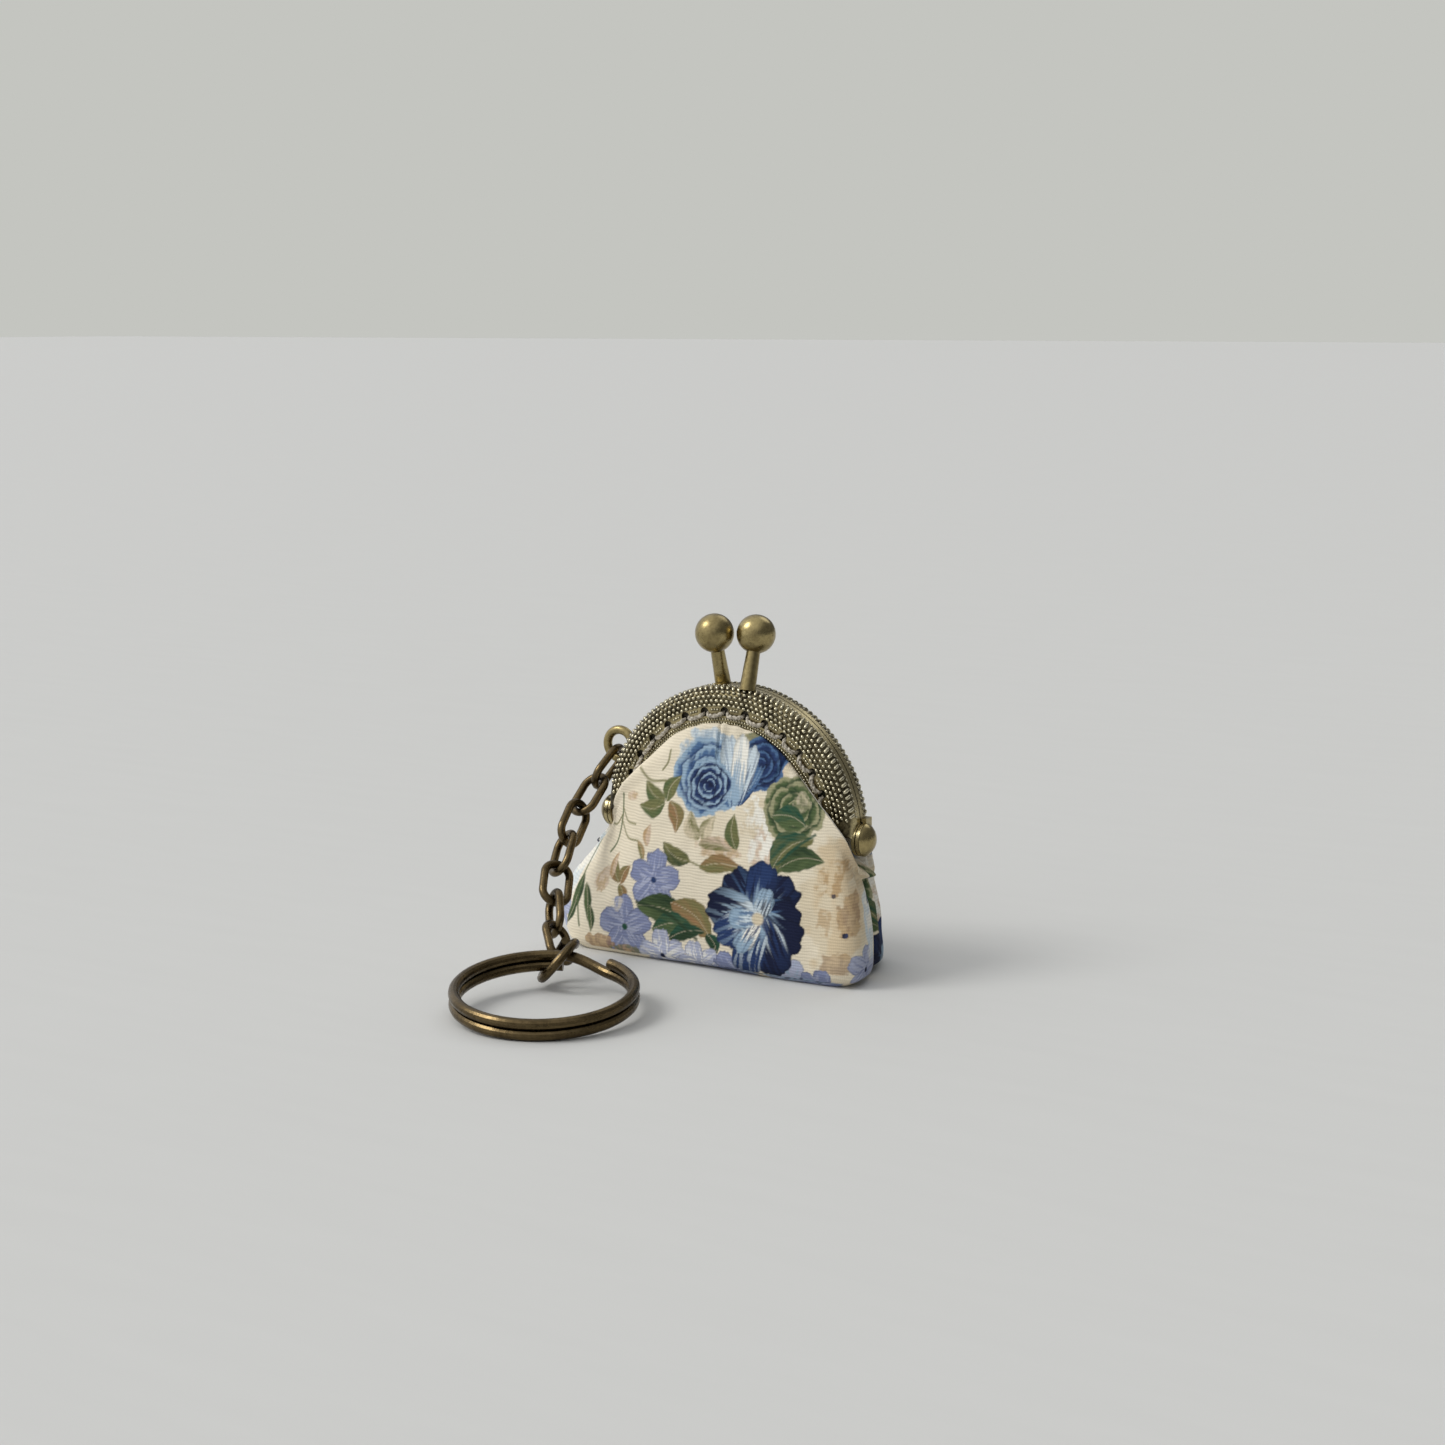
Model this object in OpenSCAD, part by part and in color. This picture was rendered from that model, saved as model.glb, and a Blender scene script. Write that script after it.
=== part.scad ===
// A small kiss-lock coin purse with a half-round metal frame, a sewn cotton bag
// with a boxed base, and a chain with a split key ring.
// X runs along the frame, the front of the purse faces -Y, and +Z is up.
// The origin lies on the table under the middle of the frame.

/* [Frame] */
// Outer radius of the half-round frame
frame_r = 20; // [18.5:0.5:24]
// Width of the frame's front band, from its outer rim to its inner edge
band_w = 5.3; // [4.8:0.1:5.8]
// Depth of one frame half, from the parting line to its face
half_depth = 3; // [2.7:0.1:3.6]
// Radius of the rounded outer rim
rim_round = 1.9; // [1.4:0.1:2.2]
// Thickness of the stamped sheet
sheet_t = 0.5; // [0.4:0.05:0.6]
// Gap between the two closed halves
parting_gap = 0.2; // [0.1:0.05:0.3]
// Width of the narrow flange inside each half
inner_flange = 1.8; // [1:0.1:2]
// Height of the two hinge pins above the table
hinge_z = 19; // [17:0.5:23]

/* [Sewing holes] */
// Number of holes along each half
hole_count = 15; // [9:1:17]
// Diameter of a sewing hole
hole_d = 1.3; // [0.9:0.1:1.5]
// Distance from the outer rim to the row of holes
hole_inset = 3.4; // [3:0.1:3.6]
// Angle from the hinge line to the first hole
hole_start = 11.25; // [10:0.25:15]
// Diameter of the sewing thread
thread_d = 0.5; // [0.3:0.05:0.55]

/* [Hinge] */
// Radius of the round ears at the ends of the frame
ear_r = 2.3; // [2:0.1:2.4]
// Gap between the front ear and the back ear
ear_gap = 0.15; // [0.1:0.05:0.3]
// Diameter of the rivet's shank
pin_d = 1.5; // [1.2:0.1:1.8]
// Radial clearance of the shank in the ears
pin_clear = 0.05; // [0.03:0.01:0.08]
// Diameter of the rivet's domed head
head_d = 4.6; // [4:0.1:5]
// Height of the rivet's domed head
head_h = 1.3; // [0.8:0.1:1.6]
// Diameter of the rivet's flared inner end
flare_d = 2.4; // [2:0.1:2.8]
// Thickness of the rivet's flared inner end
flare_t = 0.4; // [0.3:0.05:0.6]

/* [Clasp] */
// Diameter of the clasp balls
ball_d = 5.5; // [4.6:0.1:5.55]
// Height of the ball centres above the top of the frame
ball_rise = 7.2; // [6:0.1:9]
// Distance of each ball from the middle of the frame, along X
ball_x = 2.8; // [2.8:0.05:3.4]
// How far each ball leans over the opposite half
ball_lean = 0.95; // [0.5:0.05:1.2]
// Diameter of a stem at its foot
stem_foot_d = 2.3; // [1.8:0.05:2.5]
// Diameter of a stem under its ball
stem_top_d = 1.95; // [1.5:0.05:2.1]
// Clearance of the stem in the ball's socket
stem_fit = 0.02; // [0.01:0.01:0.05]

/* [Chain loop] */
// Outside diameter of the loop on the frame
loop_od = 5.5; // [5:0.1:6]
// Wire diameter of the loop
loop_wire = 1.3; // [1:0.05:1.4]
// Angle of the loop round the frame, from the right-hand hinge
loop_angle = 155; // [150:1:160]
// Distance of the loop's centre outside the frame's rim
loop_out = 2.3; // [2.2:0.1:2.5]

/* [Bag] */
// Length of the bag's boxed base
base_len = 45.6; // [43:0.2:52]
// Depth of the bag's boxed base
base_depth = 17.4; // [15:0.2:21]
// Rounding of the base's corners
base_round = 3; // [1.5:0.5:4]
// How far the base sits to the left of the frame
base_shift = 1.5; // [0:0.25:2]
// Thickness of the outer cloth
cloth_t = 0.6; // [0.4:0.05:0.7]
// Thickness of the lining
lining_t = 0.4; // [0.3:0.05:0.5]
// Gap between the outer cloth and the lining
layer_gap = 0.15; // [0.1:0.05:0.2]
// How far each panel swells in front of its frame half, at the hinge line
panel_swell = 3.8; // [3:0.1:4.2]
// Angle that each half swings out from the closed position
open_angle = 35; // [30:1:36]
// Clearance between the swinging panels and the lower bag
swing_clear = 0.3; // [0.25:0.05:0.5]

/* [Chain] */
// Outside length of a chain link
link_len = 7.8; // [7.2:0.1:8.4]
// Outside width of a chain link
link_w = 4.9; // [4.7:0.1:5.4]
// Wire diameter of a chain link
link_wire = 1.15; // [0.9:0.05:1.2]
// Slack where two links hook into each other
link_clear = 0.15; // [0.1:0.01:0.18]
// Share of the chain's length that its span falls short of
chain_slack = 0.04; // [0.03:0.005:0.06]
// Direction on the table from the loop to the key ring
chain_heading = -73.4; // [-78:0.2:-68]

/* [Rings] */
// Outside diameter of the open jump ring
jump_od = 7.8; // [7.6:0.1:9]
// Wire diameter of the jump ring
jump_wire = 1.3; // [1:0.05:1.35]
// How far the jump ring leans over, from upright
jump_lean = 40; // [36:1:46]
// Outside diameter of the split key ring
split_od = 25; // [20:0.5:32]
// Wire diameter of the split ring, which has two turns
split_wire = 1.45; // [1.2:0.05:1.5]
// Direction on the table from the jump ring to the key ring's centre
ring_heading = -64; // [-68:1:-58]

/* [Hidden] */
$fn = 64;
SOFT_FN = 32;
SKIN = 0.01;
CHAIN_LINKS = 7;

BRASS = "#8a7a4c";
DARK_BRASS = "#5f4d33";
CLOTH = "#e6d6bd";
LINING = "#efe9df";
THREAD = "#b9b2a2";

// Frame section, as radius and depth in front of the parting line
band_r = frame_r - band_w;
parting = parting_gap / 2;
rim_r = frame_r - rim_round;
rim_depth = half_depth - rim_round;
RIM_STEPS = 10;
hole_r = frame_r - hole_inset;
hole_step = (180 - 2 * hole_start) / (hole_count - 1);

// Hinge stations along X, from the middle outwards
front_ear_x = frame_r - sheet_t;
back_ear_x = frame_r + ear_gap;
head_x = back_ear_x + sheet_t + ear_gap / 2;
flare_x = front_ear_x - ear_gap / 2 - flare_t;
ear_room = ear_r + ear_gap;
leg_cut = 1.2;
head_edge = 0.3;

// Layers of cloth, as depths in front of the parting line
channel_mid = (parting + half_depth) / 2;
layers = cloth_t + layer_gap + lining_t;
cloth_face = channel_mid + layers / 2;
lining_face = cloth_face - cloth_t - layer_gap;
swell_r = band_r - layer_gap;
rim_inside = rim_round - sheet_t;
tuck_r = rim_r + sqrt(pow(rim_inside, 2) - pow(cloth_face - rim_depth, 2)) - layer_gap;
PANEL_STEPS = 12;
hem_gap = 0.3;
seat_gap = 0.35;
hinge_room = ear_r + seat_gap;
leg_room = 2;

// Depth of a panel's outer face: flat in the channel, swelling towards the middle
function panel_face(face, r) =
    face + (r < swell_r ? panel_swell * (1 - (r / swell_r) * (r / swell_r)) : 0);

// Lower bag; swing_r is as far from the hinge line as a panel reaches below it when open
bag_top = hinge_z - hem_gap / 2;
swing_r = max([
    for (i = [0:4 * PANEL_STEPS])
        let (z = i * swell_r / (4 * PANEL_STEPS), y = panel_face(cloth_face, z))
        z <= y * tan(open_angle) ? norm([y, z]) : 0
]);
bag_waist = swing_r + swing_clear + layers;
bag_tip = head_x + head_h;
base_slab = 0.5;

// Chain, from wire centre to wire centre
link_end_r = (link_w - link_wire) / 2;
link_half = (link_len - link_wire) / 2;
link_straight = 2 * (link_half - link_end_r);
hook = link_wire + link_clear;
pitch = 2 * link_half - hook;
first_hook = (loop_wire + link_wire) / 2 + link_clear;
jump_r = (jump_od - jump_wire) / 2;
jump_hook = (link_wire + jump_wire) / 2 + link_clear;
split_r = (split_od - split_wire) / 2;

function unit(v) = v / norm(v);
function flat_dir(angle) = [cos(angle), sin(angle), 0];

// The loop stands on the back half's rim, and the first link hangs in it
loop_r = (loop_od - loop_wire) / 2;
loop_centre = [
    (frame_r + loop_out) * cos(loop_angle),
    channel_mid,
    hinge_z + (frame_r + loop_out) * sin(loop_angle)
];
hang_angle = 250;
chain_start = loop_centre + loop_r * [cos(hang_angle), 0, sin(hang_angle)];
loop_tangent = [-sin(hang_angle), 0, cos(hang_angle)];

// The jump ring stands on the table and leans sideways round the key ring
jump_z = jump_r * cos(jump_lean) + jump_wire / 2;
jump_u = flat_dir(ring_heading);
jump_w = sin(jump_lean) * flat_dir(ring_heading + 90) + [0, 0, cos(jump_lean)];

// The chain lies in a shallow arc between the loop and the jump ring
chain_reach = CHAIN_LINKS * pitch * (1 - chain_slack);
chain_drop = chain_start[2] - jump_z;
chain_run = sqrt(chain_reach * chain_reach - chain_drop * chain_drop);
chord = unit(chain_run * flat_dir(chain_heading) - [0, 0, chain_drop]);
bulge_side = flat_dir(180);
bulge = unit(bulge_side - chord * (chord * bulge_side));
arc_normal = cross(chord, bulge);

function arc_reach(turn) = pitch * sin(CHAIN_LINKS * turn / 2) / sin(turn / 2);
function arc_turn(low, high, tries) =
    let (turn = (low + high) / 2)
    tries == 0 ? turn
    : arc_reach(turn) > chain_reach ? arc_turn(turn, high, tries - 1)
    : arc_turn(low, turn, tries - 1);
link_turn = arc_turn(0.1, 180 / CHAIN_LINKS, 30);

function heading(i) =
    let (angle = ((CHAIN_LINKS + 1) / 2 - i) * link_turn)
    cos(angle) * chord + sin(angle) * bulge;
// Centre of the wire at the far end of link i; end 0 is the loop's wire
function link_end(i) =
    i == 0 ? chain_start
    : link_end(i - 1) + (i == 1 ? pitch + hook - first_hook : pitch) * heading(i);

// Roll of each link about its length, measured from the first one; neighbours lie crosswise
link_roll = [0, 114, 30, 135, 60, 150, 40];
first_width = unit(cross(loop_tangent, heading(1)));
first_roll = atan2(first_width * cross(heading(1), arc_normal), first_width * arc_normal);
function link_width(i) =
    let (roll = first_roll + link_roll[i - 1])
    cos(roll) * arc_normal + sin(roll) * cross(heading(i), arc_normal);

jump_hooked = link_end(CHAIN_LINKS) - jump_hook * heading(CHAIN_LINKS);
jump_centre = jump_hooked + jump_r * jump_u;
jump_gap_at = 135;
jump_gap = 14;
jump_skew = 0.6;

// The key ring rests on the table at its far side, and its near side lies in the jump ring
coil_gap = 0.04;
coil_rise = (split_wire + coil_gap) / 2;
coil_at = 0.4;
coil_point = jump_centre + coil_at * jump_u;
ring_tilt = asin((coil_point[2] - coil_rise - split_wire / 2) / (2 * split_r));
ring_along = cos(ring_tilt) * jump_u - [0, 0, sin(ring_tilt)];
ring_wide = flat_dir(ring_heading + 90);
ring_centre = coil_point + split_r * ring_along;
crossing_at = 158;
crossing_span = 36;
WIRE_SIDES = 12;
JUMP_RINGS = 60;
SPLIT_RINGS = 150;

// Moves the children from a frame of their own, X along and Y wide, to their place
module placed(centre, along, wide) {
    normal = cross(along, wide);
    multmatrix([
        [along[0], wide[0], normal[0], centre[0]],
        [along[1], wide[1], normal[1], centre[1]],
        [along[2], wide[2], normal[2], centre[2]],
        [0, 0, 0, 1]
    ]) children();
}

// Leaves the children on the front for side -1 and mirrors them to the back for side 1
module on_half(side) {
    mirror([0, side > 0 ? 1 : 0, 0]) children();
}

module on_both_ends() {
    for (end = [0, 1]) mirror([end, 0, 0]) children();
}

// Turns a section, drawn as radius and depth, round the arch of the front half
module half_round() {
    translate([0, 0, hinge_z]) rotate([90, 0, 0]) rotate_extrude(angle = 180) children();
}

// A cylinder on the hinge line, from x outwards
module hinge_cylinder(x, length, r) {
    translate([x, 0, hinge_z]) rotate([0, 90, 0]) cylinder(h = length, r = r);
}

// Outline of the rounded rim, a given distance inside its face
function rim_arc(inset) = [
    for (i = [0:RIM_STEPS])
        let (a = 90 - 90 * i / RIM_STEPS)
        [rim_r + (rim_round - inset) * cos(a), rim_depth + (rim_round - inset) * sin(a)]
];
function reversed(list) = [for (i = [len(list) - 1:-1:0]) list[i]];

// The space that one closed half takes up, out to its rim
module frame_envelope() {
    half_round() polygon(concat(
        [[0, parting], [0, half_depth]], rim_arc(0), [[frame_r, parting]]
    ));
}

// Section of a half: front band, rounded rim and the narrow flange at the parting line
module frame_section() {
    flange_r = frame_r - sheet_t - inner_flange;
    flange_depth = parting + sheet_t / 2;
    polygon(concat(
        [[band_r, half_depth]],
        rim_arc(0),
        [
            [frame_r, parting],
            [flange_r, parting],
            [flange_r, flange_depth],
            [frame_r - sheet_t, flange_depth]
        ],
        reversed(rim_arc(sheet_t)),
        [[band_r, half_depth - sheet_t]]
    ));
}

// Strap that steps outwards from the rim to an ear outside the other half's ear
module ear_joggle(ear_x) {
    depth = half_depth - leg_cut - parting;
    translate([front_ear_x - sheet_t / 2, -half_depth + leg_cut, hinge_z + ear_room])
        cube([ear_x + 1.5 * sheet_t - front_ear_x, depth, sheet_t]);
    translate([ear_x, -half_depth + leg_cut, hinge_z])
        cube([sheet_t, depth, ear_room + sheet_t]);
}

// One stamped half: a channel bent to a half circle, with sewing holes and two ears
module frame_half(ear_x) {
    outer_ear = ear_x > frame_r;
    difference() {
        union() {
            difference() {
                half_round() frame_section();
                on_both_ends()
                    hinge_cylinder(band_r, (outer_ear ? back_ear_x : front_ear_x) - band_r, ear_room);
                on_both_ends()
                    translate([band_r / 2, 0, hinge_z])
                        rotate([90, 0, 90])
                            linear_extrude(height = frame_r)
                                polygon([
                                    [-half_depth - leg_cut, -leg_cut],
                                    [-half_depth + 2 * leg_cut, -leg_cut],
                                    [-half_depth - leg_cut, 2 * leg_cut]
                                ]);
            }
            on_both_ends() hinge_cylinder(ear_x, sheet_t, ear_r);
            if (outer_ear) on_both_ends() ear_joggle(ear_x);
        }
        on_both_ends() hinge_cylinder(ear_x - sheet_t, 3 * sheet_t, pin_d / 2 + pin_clear);
        for (i = [0:hole_count - 1]) {
            angle = hole_start + i * hole_step;
            translate([hole_r * cos(angle), -half_depth - sheet_t, hinge_z + hole_r * sin(angle)])
                rotate([-90, 0, 0])
                    cylinder(h = 3 * sheet_t, d = hole_d);
        }
    }
}

module front_frame() { color(BRASS) frame_half(front_ear_x); }
module back_frame() { color(BRASS) on_half(1) frame_half(back_ear_x); }

// A hinge rivet: flared end inside, shank through both ears, low dome outside
module rivet() {
    dome_r = (head_d * head_d / 4 + head_h * head_h) / (2 * head_h);
    hinge_cylinder(flare_x, flare_t, flare_d / 2);
    hinge_cylinder(flare_x, head_x - flare_x + head_edge, pin_d / 2);
    intersection() {
        hinge_cylinder(head_x, head_h, head_d / 2);
        translate([head_x + head_h - dome_r, 0, hinge_z])
            rotate([0, 90, 0])
                sphere(r = dome_r);
    }
}

module left_rivet() { color(BRASS) mirror([1, 0, 0]) rivet(); }
module right_rivet() { color(BRASS) rivet(); }

// Clasp: each ball stands on a stem that leans across the parting line
stem_foot = [ball_x, -channel_mid, hinge_z + frame_r - sheet_t];
ball_centre = [ball_x, ball_lean, hinge_z + frame_r + ball_rise];
stem_len = norm(ball_centre - stem_foot);
stem_tilt = atan2(ball_lean + channel_mid, ball_centre[2] - stem_foot[2]);
stem_neck = stem_len - ball_d / 2;

module on_stem() {
    translate(stem_foot) rotate([-stem_tilt, 0, 0]) children();
}

module clasp_stem() {
    difference() {
        on_stem() {
            cylinder(h = stem_neck, d1 = stem_foot_d, d2 = stem_top_d);
            cylinder(h = stem_len, d = stem_top_d);
        }
        frame_envelope();
    }
}

module clasp_ball() {
    difference() {
        translate(ball_centre) sphere(d = ball_d);
        on_stem() cylinder(h = stem_len + stem_fit, d = stem_top_d + 2 * stem_fit);
    }
}

module front_clasp_stem() { color(BRASS) clasp_stem(); }
module back_clasp_stem() { color(BRASS) rotate([0, 0, 180]) clasp_stem(); }
module front_clasp_ball() { color(BRASS) clasp_ball(); }
module back_clasp_ball() { color(BRASS) rotate([0, 0, 180]) clasp_ball(); }

// A ring of round wire lying in the XY plane
module wire_ring(r, wire, angle = 360) {
    rotate_extrude(angle = angle) translate([r, 0]) circle(d = wire);
}

module chain_loop() {
    color(BRASS) difference() {
        translate(loop_centre) rotate([90, 0, 0]) wire_ring(loop_r, loop_wire);
        on_half(1) frame_envelope();
    }
}

// One stitch: a bar of thread between two holes, turned in at both ends
module stitch(from, to) {
    bar_depth = half_depth + thread_d / 2 + layer_gap / 3;
    leg = bar_depth - cloth_face - layer_gap / 3;
    span = 2 * hole_r * sin((to - from) / 2);
    middle = (from + to) / 2;
    translate([
        hole_r * cos((to - from) / 2) * cos(middle),
        -bar_depth,
        hinge_z + hole_r * cos((to - from) / 2) * sin(middle)
    ])
        rotate([0, 90 - middle, 0]) {
            translate([-span / 2, 0, 0]) rotate([0, 90, 0]) cylinder(h = span, d = thread_d);
            for (end = [-1, 1])
                translate([end * span / 2, 0, 0]) {
                    sphere(d = thread_d);
                    rotate([-90, 0, 0]) cylinder(h = leg, d = thread_d);
                }
        }
}

module stitching() {
    inset = asin((hole_d - thread_d) / 2 * 0.8 / hole_r);
    for (i = [0:hole_count - 2]) {
        angle = hole_start + i * hole_step;
        stitch(angle + inset, angle + hole_step - inset);
    }
}

module front_stitching() { color(THREAD) stitching(); }
module back_stitching() { color(THREAD) on_half(1) stitching(); }

// One layer of cloth that fills a half's arch and is tucked into its channel
module panel(face, thickness) {
    stations = concat([for (i = [0:PANEL_STEPS]) swell_r * i / PANEL_STEPS], [tuck_r]);
    outer = [for (r = stations) [r, panel_face(face, r)]];
    inner = [for (r = stations) [r, panel_face(face, r) - thickness]];
    difference() {
        half_round() polygon(concat(outer, reversed(inner)));
        translate([-frame_r, -half_depth - panel_swell - cloth_t, hinge_z - frame_r + hem_gap])
            cube([2 * frame_r, half_depth + panel_swell + cloth_t, frame_r]);
        on_both_ends() hinge_cylinder(swell_r - cloth_t, frame_r, hinge_room);
    }
}

module front_panel() { color(CLOTH) panel(cloth_face, cloth_t); }
module back_panel() { color(CLOTH) on_half(1) panel(cloth_face, cloth_t); }
module front_lining() { color(LINING) panel(lining_face, lining_t); }
module back_lining() { color(LINING) on_half(1) panel(lining_face, lining_t); }

// Pointed oval outline of the bag at the hinge line
module lens(half_width, half_depth_at_middle) {
    r = (half_width * half_width + half_depth_at_middle * half_depth_at_middle)
        / (2 * half_depth_at_middle);
    intersection_for (side = [-1, 1])
        translate([0, side * (r - half_depth_at_middle)]) circle(r = r, $fn = 4 * SOFT_FN);
}

// Solid of the lower bag, a given distance inside its outer face
module bag_solid(inset, top) {
    hull() {
        for (x = [-1, 1], y = [-1, 1])
            translate([
                x * (base_len / 2 - base_round) - base_shift,
                y * (base_depth / 2 - base_round),
                inset
            ])
                cylinder(h = base_slab, r = base_round - inset, $fn = SOFT_FN);
        translate([0, 0, top - base_slab])
            linear_extrude(height = base_slab)
                lens(bag_tip - inset, bag_waist - inset);
    }
}

// One layer of the lower bag, open at the top, with room for the hinge and the frame's ends
module bag_shell(inset, wall) {
    difference() {
        bag_solid(inset, bag_top);
        bag_solid(inset + wall, bag_top + SKIN);
        on_both_ends() hinge_cylinder(swell_r - cloth_t, frame_r, hinge_room);
        on_both_ends()
            translate([swell_r - cloth_t, -half_depth - cloth_t, hinge_z - leg_room])
                cube([frame_r, 2 * (half_depth + cloth_t), 2 * leg_room]);
    }
}

module bag_body() { color(CLOTH) bag_shell(0, cloth_t); }
module lining_body() { color(LINING) bag_shell(cloth_t + layer_gap, lining_t); }

// An oval link of round wire with its length along X
module link() {
    for (end = [0, 1])
        mirror([end, 0, 0])
            translate([link_straight / 2, 0, 0])
                rotate([0, 0, -90])
                    wire_ring(link_end_r, link_wire, 180);
    for (side = [-1, 1])
        translate([-link_straight / 2, side * link_end_r, 0])
            rotate([0, 90, 0])
                cylinder(h = link_straight, d = link_wire);
}

module chain_link(i) {
    color(DARK_BRASS)
        placed(link_end(i) - link_half * heading(i), heading(i), link_width(i)) link();
}

module chain_link_1() { chain_link(1); }
module chain_link_2() { chain_link(2); }
module chain_link_3() { chain_link(3); }
module chain_link_4() { chain_link(4); }
module chain_link_5() { chain_link(5); }
module chain_link_6() { chain_link(6); }
module chain_link_7() { chain_link(7); }

// Sweeps round wire along a path; up is a direction that the path never takes
module wire(path, d, up) {
    last = len(path) - 1;
    points = [
        for (i = [0:last])
            let (
                along = unit(path[min(i + 1, last)] - path[max(i - 1, 0)]),
                side = unit(cross(along, up)),
                top = cross(side, along)
            )
            for (k = [0:WIRE_SIDES - 1])
                let (a = 360 * k / WIRE_SIDES)
                path[i] + d / 2 * (cos(a) * side + sin(a) * top)
    ];
    walls = [
        for (i = [0:last - 1], k = [0:WIRE_SIDES - 1])
            let (
                a = i * WIRE_SIDES + k,
                b = i * WIRE_SIDES + (k + 1) % WIRE_SIDES
            )
            each [[a, a + WIRE_SIDES, b], [b, a + WIRE_SIDES, b + WIRE_SIDES]]
    ];
    caps = [
        [for (k = [0:WIRE_SIDES - 1]) k],
        [for (k = [WIRE_SIDES - 1:-1:0]) last * WIRE_SIDES + k]
    ];
    polyhedron(points = points, faces = concat(walls, caps));
}

// The jump ring's ends don't quite meet and stand side by side
module jump_ring() {
    path = [
        for (i = [0:JUMP_RINGS])
            let (
                t = i / JUMP_RINGS,
                a = jump_gap_at + jump_gap / 2 + t * (360 - jump_gap)
            )
            [jump_r * cos(a), jump_r * sin(a), jump_skew * pow(1 - 2 * t, 3)]
    ];
    color(DARK_BRASS) placed(jump_centre, jump_u, jump_w) wire(path, jump_wire, [0, 0, 1]);
}

function smooth(t) = t * t * (3 - 2 * t);

// Two turns of wire that change places at the crossing
module split_ring() {
    sweep = 720 - crossing_span;
    path = [
        for (i = [0:SPLIT_RINGS])
            let (
                turned = sweep * i / SPLIT_RINGS,
                a = crossing_at + crossing_span / 2 + turned,
                t = (turned - 360 + crossing_span) / crossing_span
            )
            [split_r * cos(a), split_r * sin(a), coil_rise * (2 * smooth(max(0, min(1, t))) - 1)]
    ];
    color(DARK_BRASS) placed(ring_centre, ring_along, ring_wide) wire(path, split_wire, [0, 0, 1]);
}

front_frame();
back_frame();
left_rivet();
right_rivet();
front_clasp_stem();
back_clasp_stem();
front_clasp_ball();
back_clasp_ball();
chain_loop();
front_stitching();
back_stitching();
bag_body();
front_panel();
back_panel();
lining_body();
front_lining();
back_lining();
chain_link_1();
chain_link_2();
chain_link_3();
chain_link_4();
chain_link_5();
chain_link_6();
chain_link_7();
jump_ring();
split_ring();
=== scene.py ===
"""A small kiss-lock coin purse: beaded brass frame, sewn floral cotton bag, chain and key ring.

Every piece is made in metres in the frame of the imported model. The metal parts keep their own
shapes and get their finishes here. The bag, its lining, the beading and the thread are made here.
"""

import logging
import math
from dataclasses import dataclass, field
from enum import Enum
from typing import Sequence

import bpy
import numpy as np
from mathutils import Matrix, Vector


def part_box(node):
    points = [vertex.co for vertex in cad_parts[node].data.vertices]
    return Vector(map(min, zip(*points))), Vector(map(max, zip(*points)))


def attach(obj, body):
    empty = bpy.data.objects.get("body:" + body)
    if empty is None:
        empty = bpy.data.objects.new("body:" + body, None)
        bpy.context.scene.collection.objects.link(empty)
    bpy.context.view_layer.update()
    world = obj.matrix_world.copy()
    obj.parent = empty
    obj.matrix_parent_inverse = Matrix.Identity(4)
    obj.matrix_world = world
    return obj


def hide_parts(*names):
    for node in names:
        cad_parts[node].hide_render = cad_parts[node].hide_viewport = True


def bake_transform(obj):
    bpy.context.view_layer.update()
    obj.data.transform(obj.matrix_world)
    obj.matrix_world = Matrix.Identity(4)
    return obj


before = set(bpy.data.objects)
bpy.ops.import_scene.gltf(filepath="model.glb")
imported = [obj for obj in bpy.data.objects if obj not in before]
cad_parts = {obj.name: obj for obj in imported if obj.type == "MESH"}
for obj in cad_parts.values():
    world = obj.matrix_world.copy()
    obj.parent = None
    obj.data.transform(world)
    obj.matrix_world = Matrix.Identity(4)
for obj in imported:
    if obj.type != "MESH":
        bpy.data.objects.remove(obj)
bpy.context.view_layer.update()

MM = 0.001
HINGE_Z = sum(corner[2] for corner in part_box("right_rivet")) / 2
LOG = logging.getLogger("coin_purse")
Array = np.ndarray
Colour = tuple[float, float, float]


def linear(red: int, green: int, blue: int) -> Colour:
    """Turns a display colour into a linear one.

    Args:
        red: Red, from 0 to 255.
        green: Green, from 0 to 255.
        blue: Blue, from 0 to 255.

    Returns:
        The linear red, green and blue, from 0 to 1.
    """

    def channel(value: int) -> float:
        """Returns one linear channel."""
        share = value / 255
        return share / 12.92 if share <= 0.04045 else ((share + 0.055) / 1.055) ** 2.4

    return channel(red), channel(green), channel(blue)


def smoothstep(low: float, high: float, value: Array) -> Array:
    """Eases from 0 at low to 1 at high.

    Args:
        low: Where the ramp starts.
        high: Where the ramp ends.
        value: The values to ease.

    Returns:
        The eased values.
    """
    share = np.clip((value - low) / (high - low), 0, 1)
    return share * share * (3 - 2 * share)


def lattice(i: Array, j: Array, seed: int) -> Array:
    """Returns a fixed pseudo-random number from 0 to 1 for each lattice corner."""
    mixed = np.sin(i * 127.1 + j * 311.7 + seed * 74.7) * 43758.5453
    return mixed - np.floor(mixed)


def noise(x: Array, y: Array, seed: int = 0) -> Array:
    """Smooth value noise from 0 to 1.

    Args:
        x: First coordinate, one unit a cell.
        y: Second coordinate.
        seed: Which pattern.

    Returns:
        The noise at each point.
    """
    i, j = np.floor(x), np.floor(y)
    a, b = x - i, y - j
    a, b = a * a * (3 - 2 * a), b * b * (3 - 2 * b)
    low = lattice(i, j, seed) * (1 - a) + lattice(i + 1, j, seed) * a
    high = lattice(i, j + 1, seed) * (1 - a) + lattice(i + 1, j + 1, seed) * a
    return low * (1 - b) + high * b


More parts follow.
